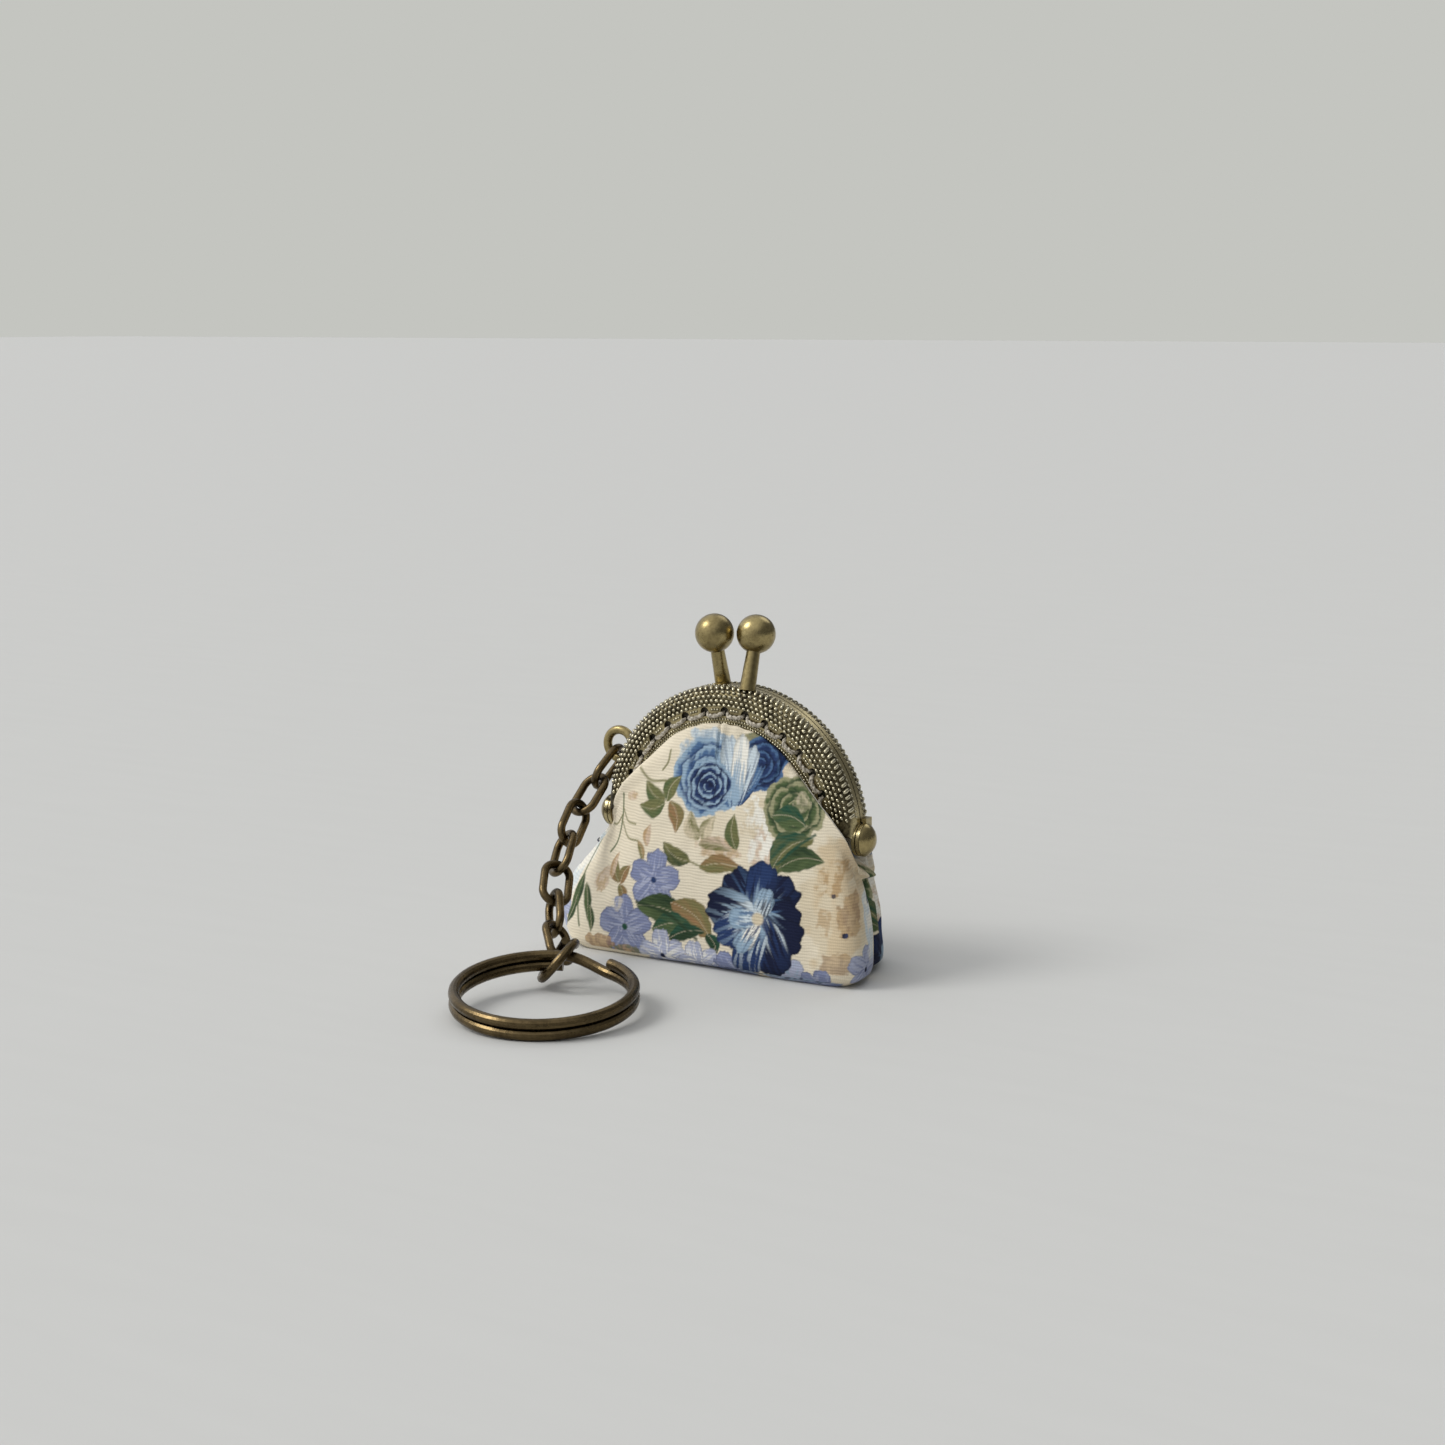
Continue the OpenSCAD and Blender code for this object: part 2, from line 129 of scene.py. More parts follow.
def cloudy(x: Array, y: Array, seed: int = 0, octaves: int = 3) -> Array:
    """Sums several octaves of value noise.

    Args:
        x: First coordinate.
        y: Second coordinate.
        seed: Which pattern.
        octaves: How many octaves.

    Returns:
        The summed noise, from 0 to 1.
    """
    total, weight = np.zeros_like(x, dtype=float), 0.0
    for octave in range(octaves):
        share = 0.5**octave
        total += share * noise(x * 2**octave, y * 2**octave, seed + 17 * octave)
        weight += share
    return total / weight


def hermite(knots: Array, values: Array, at: Array) -> Array:
    """Interpolates rows of values smoothly.

    Args:
        knots: Rising knot positions.
        values: One row of values for each knot.
        at: Where to read the curve.

    Returns:
        One row of values for each position.
    """
    knots, values = np.asarray(knots, float), np.asarray(values, float)
    flat = values.reshape(len(knots), -1)
    steps = np.diff(flat, axis=0) / np.diff(knots)[:, None]
    slopes = np.vstack([steps[:1], (steps[1:] + steps[:-1]) / 2, steps[-1:]])
    span = np.clip(np.searchsorted(knots, at, side="right") - 1, 0, len(knots) - 2)
    width = (knots[span + 1] - knots[span])[:, None]
    t = ((at - knots[span]) / (knots[span + 1] - knots[span]))[:, None]
    result = (
        (2 * t**3 - 3 * t**2 + 1) * flat[span]
        + (t**3 - 2 * t**2 + t) * width * slopes[span]
        + (3 * t**2 - 2 * t**3) * flat[span + 1]
        + (t**3 - t**2) * width * slopes[span + 1]
    )
    return result.reshape((len(at),) + values.shape[1:])


def grid_faces(rows: int, columns: int, closed: bool = False, flip: bool = False) -> list:
    """Quads over a grid of points laid out row by row.

    Args:
        rows: How many rows of points.
        columns: How many points in a row.
        closed: True if each row is a ring.
        flip: True turns the faces over.

    Returns:
        A list of four point numbers for each face.
    """
    faces = []
    for row in range(rows - 1):
        for column in range(columns if closed else columns - 1):
            after = (column + 1) % columns
            quad = (
                row * columns + column,
                row * columns + after,
                (row + 1) * columns + after,
                (row + 1) * columns + column,
            )
            faces.append(quad[::-1] if flip else quad)
    return faces


def make_piece(
    name: str, points: Array, faces: Sequence, material: bpy.types.Material
) -> bpy.types.Object:
    """Makes a smooth-shaded mesh object.

    Args:
        name: The piece's name.
        points: Its points, in millimetres.
        faces: Its faces.
        material: Its finish.

    Returns:
        The new object, linked to the scene.
    """
    mesh = bpy.data.meshes.new(name)
    mesh.from_pydata((np.asarray(points) * MM).tolist(), [], faces)
    mesh.update()
    mesh.shade_smooth()
    mesh.materials.append(material)
    piece = bpy.data.objects.new(name, mesh)
    bpy.context.scene.collection.objects.link(piece)
    LOG.info("%s: %d faces", name, len(mesh.polygons))
    return piece


def add_values(piece: bpy.types.Object, name: str, values: Array) -> None:
    """Stores one number for each point of a piece.

    Args:
        piece: The piece.
        name: The attribute's name.
        values: One number for each point.
    """
    layer = piece.data.attributes.new(name, "FLOAT", "POINT")
    layer.data.foreach_set("value", np.asarray(values, np.float32).ravel())


def add_vectors(piece: bpy.types.Object, name: str, values: Array) -> None:
    """Stores one vector for each point of a piece.

    Args:
        piece: The piece.
        name: The attribute's name.
        values: Three numbers for each point.
    """
    layer = piece.data.attributes.new(name, "FLOAT_VECTOR", "POINT")
    layer.data.foreach_set("vector", np.asarray(values, np.float32).ravel())


def add_colours(piece: bpy.types.Object, name: str, values: Array) -> None:
    """Stores one colour for each point of a piece.

    Args:
        piece: The piece.
        name: The attribute's name.
        values: Linear red, green and blue for each point.
    """
    layer = piece.data.color_attributes.new(name, "FLOAT_COLOR", "POINT")
    full = np.hstack([values, np.ones((len(values), 1))])
    layer.data.foreach_set("color", full.astype(np.float32).ravel())


class Bench:
    """Adds and links the nodes of one node tree."""

    def __init__(self, tree: bpy.types.NodeTree) -> None:
        """Takes the tree to work on."""
        self.tree = tree

    def add(self, kind: str, **settings: object) -> bpy.types.Node:
        """Adds a node.

        Args:
            kind: The node's type, without its ShaderNode prefix.
            settings: Properties of the node.

        Returns:
            The new node.
        """
        node = self.tree.nodes.new(f"ShaderNode{kind}")
        for name, value in settings.items():
            setattr(node, name, value)
        return node

    def join(self, source: bpy.types.NodeSocket, target: bpy.types.NodeSocket) -> None:
        """Links two sockets."""
        self.tree.links.new(source, target)

    def math(self, operation: str, *values: object, clamp: bool = False) -> bpy.types.NodeSocket:
        """Adds a Math node.

        Args:
            operation: Its operation.
            values: Numbers or sockets for its inputs.
            clamp: True keeps the result from 0 to 1.

        Returns:
            Its output.
        """
        node = self.add("Math", operation=operation, use_clamp=clamp)
        for socket, value in zip(node.inputs, values):
            self.feed(socket, value)
        return node.outputs[0]

    def feed(self, socket: bpy.types.NodeSocket, value: object) -> None:
        """Links a socket to an input, or sets the input to a number."""
        if isinstance(value, bpy.types.NodeSocket):
            self.join(value, socket)
        else:
            socket.default_value = value

    def cloud(
        self, vector: bpy.types.NodeSocket, scale: object, detail: float, roughness: float = 0.5
    ) -> bpy.types.NodeSocket:
        """Adds a noise texture.

        Args:
            vector: The socket that places it.
            scale: How fine it is, as a number or a socket.
            detail: How many octaves it has.
            roughness: How strong the fine octaves are.

        Returns:
            The noise, from 0 to 1.
        """
        node = self.add("TexNoise")
        self.join(vector, node.inputs["Vector"])
        self.feed(node.inputs["Scale"], scale)
        node.inputs["Detail"].default_value = detail
        node.inputs["Roughness"].default_value = roughness
        return node.outputs["Fac"]

    def stretch(self, vector: bpy.types.NodeSocket, scale: Colour) -> bpy.types.NodeSocket:
        """Returns a vector with each part multiplied."""
        node = self.add("VectorMath", operation="MULTIPLY")
        self.join(vector, node.inputs[0])
        node.inputs[1].default_value = scale
        return node.outputs[0]

    def bump(
        self, shader: bpy.types.Node, height: bpy.types.NodeSocket, strength: float, distance: float
    ) -> None:
        """Gives a shader fine relief.

        Args:
            shader: The shader.
            height: The relief, from 0 to 1.
            strength: How strong it is.
            distance: How deep it is, in metres.
        """
        node = self.add("Bump")
        node.inputs["Strength"].default_value = strength
        node.inputs["Distance"].default_value = distance
        self.join(height, node.inputs["Height"])
        self.join(node.outputs["Normal"], shader.inputs["Normal"])

    def ramp(self, value: bpy.types.NodeSocket, low: float, high: float) -> bpy.types.NodeSocket:
        """Maps a value from low and high to 0 and 1.

        Args:
            value: What to map.
            low: The value that becomes 0.
            high: The value that becomes 1.

        Returns:
            The mapped value.
        """
        node = self.add("MapRange", interpolation_type="SMOOTHSTEP")
        self.join(value, node.inputs["Value"])
        node.inputs["From Min"].default_value = low
        node.inputs["From Max"].default_value = high
        return node.outputs["Result"]

    def mix(self, share: object, first: object, second: object, blend: str = "MIX") -> bpy.types.NodeSocket:
        """Mixes two colours.

        Args:
            share: How much of the second.
            first: The first colour or socket.
            second: The second colour or socket.
            blend: How they blend.

        Returns:
            The mixed colour.
        """
        node = self.add("Mix", data_type="RGBA", blend_type=blend)
        self.feed(node.inputs[0], share)
        self.feed(node.inputs[6], first if isinstance(first, bpy.types.NodeSocket) else (*first, 1))
        self.feed(node.inputs[7], second if isinstance(second, bpy.types.NodeSocket) else (*second, 1))
        return node.outputs[2]


def new_group(
    name: str, inputs: Sequence[tuple[str, str, object]], outputs: Sequence[tuple[str, str]]
) -> tuple[bpy.types.NodeTree, Bench, bpy.types.Node, bpy.types.Node]:
    """Starts a shader node group.

    Args:
        name: The group's name.
        inputs: The name, socket type and default of each input.
        outputs: The name and socket type of each output.

    Returns:
        The group, a bench for it, and its input and output nodes.
    """
    group = bpy.data.node_groups.new(name, "ShaderNodeTree")
    for label, kind, default in inputs:
        socket = group.interface.new_socket(label, in_out="INPUT", socket_type=kind)
        if default is not None:
            socket.default_value = default
    for label, kind in outputs:
        group.interface.new_socket(label, in_out="OUTPUT", socket_type=kind)
    bench = Bench(group)
    return group, bench, group.nodes.new("NodeGroupInput"), group.nodes.new("NodeGroupOutput")


class Effects:
    """The node groups that several finishes share, each built once."""

    def __init__(self) -> None:
        """Builds every group."""
        self.patina_and_shade = self.build_patina_and_shade()
        self.weave = self.build_weave()

    @staticmethod
    def build_patina_and_shade() -> bpy.types.NodeTree:
        """Brass that is bright where it rubs and brown in its hollows; the brown in the hollows is partly
        oxide and partly painted shade.

        Returns:
            A group that puts out a colour, a roughness and a height.
        """
        group, bench, entry, result = new_group(
            "Brass patina",
            [
                ("Bright", "NodeSocketColor", (0.6, 0.5, 0.25, 1)),
                ("Dark", "NodeSocketColor", (0.1, 0.08, 0.05, 1)),
                ("Relief", "NodeSocketFloat", 0.5),
                ("Wear", "NodeSocketFloat", 0.5),
                ("Scale", "NodeSocketFloat", 300.0),
            ],
            [
                ("Color", "NodeSocketColor"),
                ("Roughness", "NodeSocketFloat"),
                ("Height", "NodeSocketFloat"),
            ],
        )
        place = bench.add("TexCoord").outputs["Object"]
        scale = entry.outputs["Scale"]
        patches = bench.ramp(bench.cloud(place, scale, 4), 0.34, 0.66)
        specks = bench.ramp(bench.cloud(place, bench.math("MULTIPLY", scale, 7.0), 6, 0.7), 0.36, 0.62)
        # Low relief comes out dark: partly oxide and partly painted shade in the hollows.
        rubbed_and_painted_shade = bench.math("MULTIPLY", entry.outputs["Relief"], 0.62)
        rubbed_and_painted_shade = bench.math("MULTIPLY_ADD", patches, 0.30, rubbed_and_painted_shade)
        rubbed_and_painted_shade = bench.math("MULTIPLY_ADD", specks, 0.20, rubbed_and_painted_shade)
        worn = bench.math("MULTIPLY_ADD", entry.outputs["Wear"], 0.5, -0.25)
        rubbed_and_painted_shade = bench.math("ADD", rubbed_and_painted_shade, worn, clamp=True)
        bench.join(bench.mix(rubbed_and_painted_shade, entry.outputs["Dark"], entry.outputs["Bright"]), result.inputs["Color"])
        rough = bench.math("MULTIPLY_ADD", rubbed_and_painted_shade, -0.22, 0.50)
        rough = bench.math("MULTIPLY_ADD", specks, 0.07, rough)
        bench.join(rough, result.inputs["Roughness"])
        bench.join(bench.math("MULTIPLY_ADD", patches, 0.4, specks), result.inputs["Height"])
        return group

    @staticmethod
    def build_weave() -> bpy.types.NodeTree:
        """Ribbed plain weave: strong threads one way and fine threads the other.

        Returns:
            A group that puts out a shade to multiply by, and a height.
        """
        group, bench, entry, result = new_group(
            "Ribbed weave",
            [
                ("Vector", "NodeSocketVector", None),
                ("Rib", "NodeSocketFloat", 0.42),
                ("Fine", "NodeSocketFloat", 0.26),
                ("Strength", "NodeSocketFloat", 0.2),
            ],
            [("Shade", "NodeSocketFloat"), ("Height", "NodeSocketFloat")],
        )
        place = entry.outputs["Vector"]
        parts = bench.add("SeparateXYZ")
        bench.join(place, parts.inputs[0])
        along = bench.math("MULTIPLY_ADD", bench.cloud(place, 0.55, 2), 0.5, parts.outputs["Y"])

        def thread(coordinate: bpy.types.NodeSocket, pitch: bpy.types.NodeSocket) -> bpy.types.NodeSocket:
            """Returns a wave from 0 to 1 across one set of threads."""
            phase = bench.math("MULTIPLY", bench.math("DIVIDE", coordinate, pitch), math.tau)
            return bench.math("MULTIPLY_ADD", bench.math("SINE", phase), 0.5, 0.5)

        ribs = thread(along, entry.outputs["Rib"])
        fine = thread(parts.outputs["X"], entry.outputs["Fine"])
        slub = bench.cloud(bench.stretch(place, (0.6, 5.0, 1.0)), 1.0, 3)
        threads = bench.math("MULTIPLY_ADD", fine, 0.3, bench.math("MULTIPLY", ribs, 0.7))
        uneven = bench.math("MULTIPLY_ADD", slub, 0.7, threads)
        bench.join(uneven, result.inputs["Height"])
        lowered = bench.math("MULTIPLY", bench.math("SUBTRACT", uneven, 1.05), entry.outputs["Strength"])
        bench.join(bench.math("ADD", lowered, 1.0), result.inputs["Shade"])
        return group


def start_material(name: str) -> tuple[bpy.types.Material, Bench, bpy.types.Node]:
    """Starts a material.

    Args:
        name: The material's name.

    Returns:
        The material, a bench for its nodes, and its shader.
    """
    material = bpy.data.materials.new(name)
    material.use_nodes = True
    bench = Bench(material.node_tree)
    return material, bench, material.node_tree.nodes["Principled BSDF"]


class Relief(Enum):
    """Where a metal finish reads how far a point stands out."""

    EVEN = "even"
    BEADS = "beads"
    FRAME = "frame"


@dataclass(frozen=True)
class BrassFinish:
    """Antiqued brass, bright where it rubs and brown where it doesn't."""

    name: str
    bright: Colour
    dark: Colour
    relief: Relief = Relief.EVEN
    wear: float = 0.5
    patch_scale: float = 300.0
    bump: float = 0.12
    gloss: float = 0.0

    def material(self, effects: Effects) -> bpy.types.Material:
        """Builds the finish.

        Args:
            effects: The shared node groups.

        Returns:
            The material.
        """
        material, bench, shader = start_material(self.name)
        patina_and_shade = bench.add("Group", node_tree=effects.patina_and_shade)
        patina_and_shade.inputs["Bright"].default_value = (*self.bright, 1)
        patina_and_shade.inputs["Dark"].default_value = (*self.dark, 1)
        patina_and_shade.inputs["Wear"].default_value = self.wear
        patina_and_shade.inputs["Scale"].default_value = self.patch_scale
        if self.relief is Relief.BEADS:
            # Bead bases read as low and come out dark: partly oxide and partly painted shade.
            height = bench.add("Attribute", attribute_name="relief").outputs["Fac"]
            bench.join(height, patina_and_shade.inputs["Relief"])
        elif self.relief is Relief.FRAME:
            bench.join(self.frame_relief(bench), patina_and_shade.inputs["Relief"])
        else:
            patina_and_shade.inputs["Relief"].default_value = 0.6
        bench.join(patina_and_shade.outputs["Color"], shader.inputs["Base Color"])
        rough = bench.math("SUBTRACT", patina_and_shade.outputs["Roughness"], self.gloss, clamp=True)
        bench.join(rough, shader.inputs["Roughness"])
        bench.bump(shader, patina_and_shade.outputs["Height"], self.bump, 0.06 * MM)
        shader.inputs["Metallic"].default_value = 1.0
        return material

    @staticmethod
    def frame_relief(bench: Bench) -> bpy.types.NodeSocket:
        """Finds what rubs on the bare frame: the meeting lip, the outer ends and the band with the holes. The
        rest, such as the sheet under the beading, stays dark: partly oxide and partly painted shade.

        Args:
            bench: The material's bench.

        Returns:
            How far each place stands out, from 0 to 1.
        """
        place = bench.add("TexCoord").outputs["Object"]
        parts = bench.add("SeparateXYZ")
        bench.join(place, parts.inputs[0])
        lip = bench.ramp(bench.math("ABSOLUTE", parts.outputs["Y"]), 1.25 * MM, 0.8 * MM)
        outside = bench.ramp(bench.math("ABSOLUTE", parts.outputs["X"]), 19.3 * MM, 19.6 * MM)
        above = bench.add("VectorMath", operation="MULTIPLY_ADD")
        bench.join(place, above.inputs[0])
        above.inputs[1].default_value = (1.0, 0.0, 1.0)
        above.inputs[2].default_value = (0.0, 0.0, -HINGE_Z)
        radius = bench.add("VectorMath", operation="LENGTH")
        bench.join(above.outputs[0], radius.inputs[0])
        band = bench.math("MULTIPLY", bench.ramp(radius.outputs["Value"], 17.5 * MM, 17.3 * MM), 0.6)
        return bench.math("MAXIMUM", bench.math("MAXIMUM", lip, outside), band)


@dataclass(frozen=True)
class ClothFinish:
    """Woven cotton. A printed one takes its colours from the piece's own print layer, which also carries
    painted shade on the edge tucked into the frame.
    """

    name: str
    ground: Colour
    printed: bool = False
    strength: float = 0.17

    def material(self, effects: Effects) -> bpy.types.Material:
        """Builds the finish.

        Args:
            effects: The shared node groups.

        Returns:
            The material.
        """
        material, bench, shader = start_material(self.name)
        place = bench.add("Attribute", attribute_name="cloth_place").outputs["Vector"]
        weave = bench.add("Group", node_tree=effects.weave)
        bench.join(place, weave.inputs["Vector"])
        weave.inputs["Strength"].default_value = self.strength
        colour: object = self.ground
        if self.printed:
            colour = bench.add("Attribute", attribute_name="print").outputs["Color"]
        shaded = bench.mix(1.0, colour, (1, 1, 1), "MULTIPLY")
        bench.join(weave.outputs["Shade"], shaded.node.inputs[7])
        bench.join(shaded, shader.inputs["Base Color"])
        shader.inputs["Roughness"].default_value = 0.86
        shader.inputs["Specular IOR Level"].default_value = 0.25
        bench.bump(shader, weave.outputs["Height"], 0.55, 0.07 * MM)
        return material


@dataclass(frozen=True)
class ThreadFinish:
    """Waxed sewing thread."""

    name: str
    colour: Colour
    shade: Colour

    def material(self) -> bpy.types.Material:
        """Builds the finish.

        Returns:
            The material.
        """
        material, bench, shader = start_material(self.name)
        fibre = bench.cloud(bench.add("TexCoord").outputs["Object"], 2600, 3)
        share = bench.ramp(fibre, 0.35, 0.65)
        bench.join(bench.mix(share, self.shade, self.colour), shader.inputs["Base Color"])
        shader.inputs["Roughness"].default_value = 0.5
        bench.bump(shader, fibre, 0.4, 0.04 * MM)
        return material


class Dye(Enum):
    """The print's inks, as display colours."""

    CREAM = (232, 222, 200)
    SAND = (216, 202, 174)
    WHITE = (236, 233, 222)
    PEACH = (212, 192, 158)
    PINK = (206, 184, 162)
    TAN = (180, 149, 107)
    BROWN = (148, 115, 80)
    SAGE = (154, 152, 118)
    OLIVE = (118, 116, 74)
    GREEN = (82, 98, 62)
    FOREST = (42, 62, 40)
    TEAL = (38, 78, 60)
    NAVY = (17, 25, 54)
    INK = (36, 56, 98)
    BLUE = (76, 106, 144)
    SKY = (146, 170, 190)
    ICE = (200, 212, 218)
    PERIWINKLE = (128, 136, 168)
    LILAC = (170, 175, 196)

    @property
    def ink(self) -> Array:
        """The linear colour."""
        return np.array(linear(*self.value))


class Canvas:
    """A stretch of cloth being printed, as points with flat places and colours."""

    def __init__(self, u: Array, v: Array) -> None:
        """Lays the cream ground.

        Args:
            u: How far each point lies to the right on the flat cloth, in millimetres.
            v: How far up.
        """
        self.u, self.v = u, v
        tone = cloudy(u / 7, v / 7, 5)[:, None]
        sandy = 0.55 * (1 - tone)
        self.colour = Dye.CREAM.ink * (1 - sandy) + Dye.SAND.ink * sandy

    def near(self, x: float, y: float, reach: float) -> Array:
        """Returns the numbers of the points within reach of a place."""
        return np.nonzero((np.abs(self.u - x) < reach) & (np.abs(self.v - y) < reach))[0]

    def lay(self, chosen: Array, cover: Array, colour: Array) -> None:
        """Prints ink over chosen points.

        Args:
            chosen: The points' numbers.
            cover: How much ink covers each, from 0 to 1.
            colour: One colour, or one for each point.
        """
        share = np.clip(cover, 0, 1)[:, None]
        self.colour[chosen] = self.colour[chosen] * (1 - share) + colour * share


def blended(share: Array, first: Dye, second: Dye) -> Array:
    """Returns the colours between two inks."""
    part = np.clip(share, 0, 1)[:, None]
    return first.ink * (1 - part) + second.ink * part


@dataclass(frozen=True)
class Rose:
    """A full-blown rose of overlapping petals round a dark heart."""

    x: float
    y: float
    radius: float
    deep: Dye
    middle: Dye
    light: Dye
    seed: int = 1
    rings: tuple[tuple[float, float, int], ...] = (
        (0.60, 0.50, 5), (0.38, 0.45, 4), (0.19, 0.34, 3), (0.07, 0.20, 2),
    )

    def paint(self, canvas: Canvas) -> None:
        """Prints the rose on a canvas, from its outer petals inwards."""
        for ring, (offset, size, count) in enumerate(self.rings):
            for k in range(count):
                angle = math.tau * k / count + ring * 1.1 + self.seed
                self.shell(canvas, angle, offset * self.radius, size * self.radius, ring * 10 + k)

    def shell(self, canvas: Canvas, angle: float, offset: float, size: float, number: int) -> None:
        """Prints one cupped petal.

        Args:
            canvas: The canvas.
            angle: Which way the petal faces, in radians.
            offset: How far its middle lies from the heart.
            size: Its radius.
            number: Its number, for its brush strokes.
        """
        c, s = math.cos(angle), math.sin(angle)
        x, y = self.x + offset * c, self.y + offset * s * 0.94
        chosen = canvas.near(x, y, size * 1.7)
        u, v = canvas.u[chosen] - x, canvas.v[chosen] - y
        out, across = (u * c + v * s) / size, (v * c - u * s) / size
        frayed = cloudy(u * 0.9 + number, v * 0.9 + 20, self.seed, 3) - 0.5
        strokes = cloudy(across * size * 1.5 + number * 3, out * size * 0.5 + 30, self.seed + 5, 3) - 0.5
        reach = np.hypot(out, across * 0.8) + 0.42 * frayed
        tone = 0.40 + 0.30 * out + 0.75 * strokes + 0.45 * smoothstep(0.6, 0.95, reach) * (out > 0)
        colour = blended(tone * 2, self.deep, self.middle)
        pale = smoothstep(0.58, 0.95, tone)[:, None]
        colour = colour * (1 - pale) + self.light.ink * pale
        if number >= 10:
            canvas.lay(chosen, smoothstep(1.28, 1.0, reach) * 0.7, self.deep.ink)
        canvas.lay(chosen, smoothstep(1.03, 0.95, reach), colour)


@dataclass(frozen=True)
class Petal:
    """One brushed petal, from a flower's heart outwards."""

    angle: float
    length: float
    width: float
    root: Dye
    tip: Dye
    streak: Dye
    turn: float = 0.45

    def paint(self, canvas: Canvas, x: float, y: float, seed: int) -> None:
        """Prints the petal on a canvas, from a heart at x and y."""
        chosen = canvas.near(x, y, self.length * 1.25)
        u, v = canvas.u[chosen] - x, canvas.v[chosen] - y
        c, s = math.cos(math.radians(self.angle)), math.sin(math.radians(self.angle))
        along, across = (u * c + v * s) / self.length, (v * c - u * s) / (self.width / 2)
        frayed = cloudy(across * 3 + 20, along * 2.5 + seed, seed, 3) - 0.5
        notch = 0.10 * np.cos(across * 7 + seed) * smoothstep(0.5, 1.0, along)
        outline = 1 - (np.abs(along - 0.52) / 0.5) ** 2.6 - np.abs(across) ** 2.2 * (1.5 - 0.7 * along)
        brush = cloudy(across * 7 + seed, along * 1.8 + 10, seed + 2, 3)
        share = smoothstep(self.turn - 0.2, self.turn + 0.2, along + 0.9 * (brush - 0.5))
        colour = blended(share, self.root, self.tip)
        mark = smoothstep(0.52, 0.62, cloudy(across * 7 + 7, along * 2.2 + seed, seed + 9, 2))[:, None]
        mark = mark * (0.8 - 0.5 * smoothstep(0.4, 0.9, along)[:, None])
        colour = colour * (1 - mark) + self.streak.ink * mark
        cover = outline + 0.75 * frayed + notch
        shade = smoothstep(0.42, 0.05, cover)[:, None] * smoothstep(0.1, 0.4, along)[:, None] * 0.55
        colour = colour * (1 - shade * 0.6)
        canvas.lay(chosen, smoothstep(0.0, 0.12, cover), colour)


@dataclass(frozen=True)
class Blossom:
    """A flower of separate petals round a small heart."""

    x: float
    y: float
    petals: tuple[Petal, ...]
    heart: Dye
    heart_radius: float
    seed: int = 1

    def paint(self, canvas: Canvas) -> None:
        """Prints the flower on a canvas."""
        for number, petal in enumerate(self.petals):
            petal.paint(canvas, self.x, self.y, self.seed + number)
        chosen = canvas.near(self.x, self.y, self.heart_radius * 2)
        r = np.hypot(canvas.u[chosen] - self.x, canvas.v[chosen] - self.y)
        canvas.lay(chosen, smoothstep(self.heart_radius, self.heart_radius * 0.6, r), self.heart.ink)


def daisy(x: float, y: float, radius: float, outer: Dye, inner: Dye, heart: Dye, seed: int) -> Blossom:
    """Makes a small five-petalled flower.

    Args:
        x: Its place to the right.
        y: Its place upwards.
        radius: Its radius.
        outer: The ink of its petals.
        inner: The ink of their streaks.
        heart: The ink of its heart.
        seed: Which brush strokes.

    Returns:
        The flower.
    """
    petals = tuple(
        Petal(20 + seed * 11 + 72 * k, radius * 1.05, radius * 0.92, outer, outer, inner) for k in range(5)
    )
    return Blossom(x, y, petals, heart, radius * 0.14, seed)


@dataclass(frozen=True)
class Leaf:
    """A pointed leaf with a vein and brushed shading."""

    x: float
    y: float
    length: float
    width: float
    angle: float
    light: Dye
    dark: Dye
    seed: int = 1

    def paint(self, canvas: Canvas) -> None:
        """Prints the leaf on a canvas, from its stalk at x and y."""
        chosen = canvas.near(self.x, self.y, self.length * 1.15)
        u, v = canvas.u[chosen] - self.x, canvas.v[chosen] - self.y
        c, s = math.cos(math.radians(self.angle)), math.sin(math.radians(self.angle))
        along, across = (u * c + v * s) / self.length, v * c - u * s
        across = across - self.width * 0.25 * np.sin(np.clip(along, 0, 1) * math.pi)
        half = self.width / 2 * np.sin(np.clip(along, 0, 1) ** 0.8 * math.pi) ** 0.85
        ragged = 0.22 * (cloudy(u * 1.4 + 9, v * 1.4 + 9, self.seed, 2) - 0.5)
        cover = smoothstep(-0.02, 0.22, half - np.abs(across) + ragged * self.width * 0.5)
        cover *= (along > 0) & (along < 1)
        brush = cloudy(along * 7 + np.abs(across) * 2, across * 1.6 + 30, self.seed + 4)
        side = smoothstep(-0.15, 0.25, across / self.width)
        colour = blended(0.55 * side + 1.1 * (brush - 0.32), self.light, self.dark)
        vein = smoothstep(0.10, 0.03, np.abs(across))[:, None] * 0.4
        canvas.lay(chosen, cover, colour * (1 - vein) + Dye.SAND.ink * vein)


@dataclass(frozen=True)
class Stem:
    """A thin brushed line through a few points."""

    points: tuple[tuple[float, float], ...]
    width: float
    ink: Dye

    def paint(self, canvas: Canvas) -> None:
        """Prints the stem on a canvas."""
        knots = np.arange(len(self.points))
        way = hermite(knots, np.array(self.points), np.linspace(0, knots[-1], 60))
        centre, reach = way.mean(0), np.ptp(way, axis=0).max() / 2 + 1
        chosen = canvas.near(*centre, reach)
        here = np.stack([canvas.u[chosen], canvas.v[chosen]], 1)
        gap = np.sqrt(((here[:, None] - way[None]) ** 2).sum(2)).min(1)
        canvas.lay(chosen, smoothstep(self.width, self.width * 0.3, gap) * 0.85, self.ink.ink)


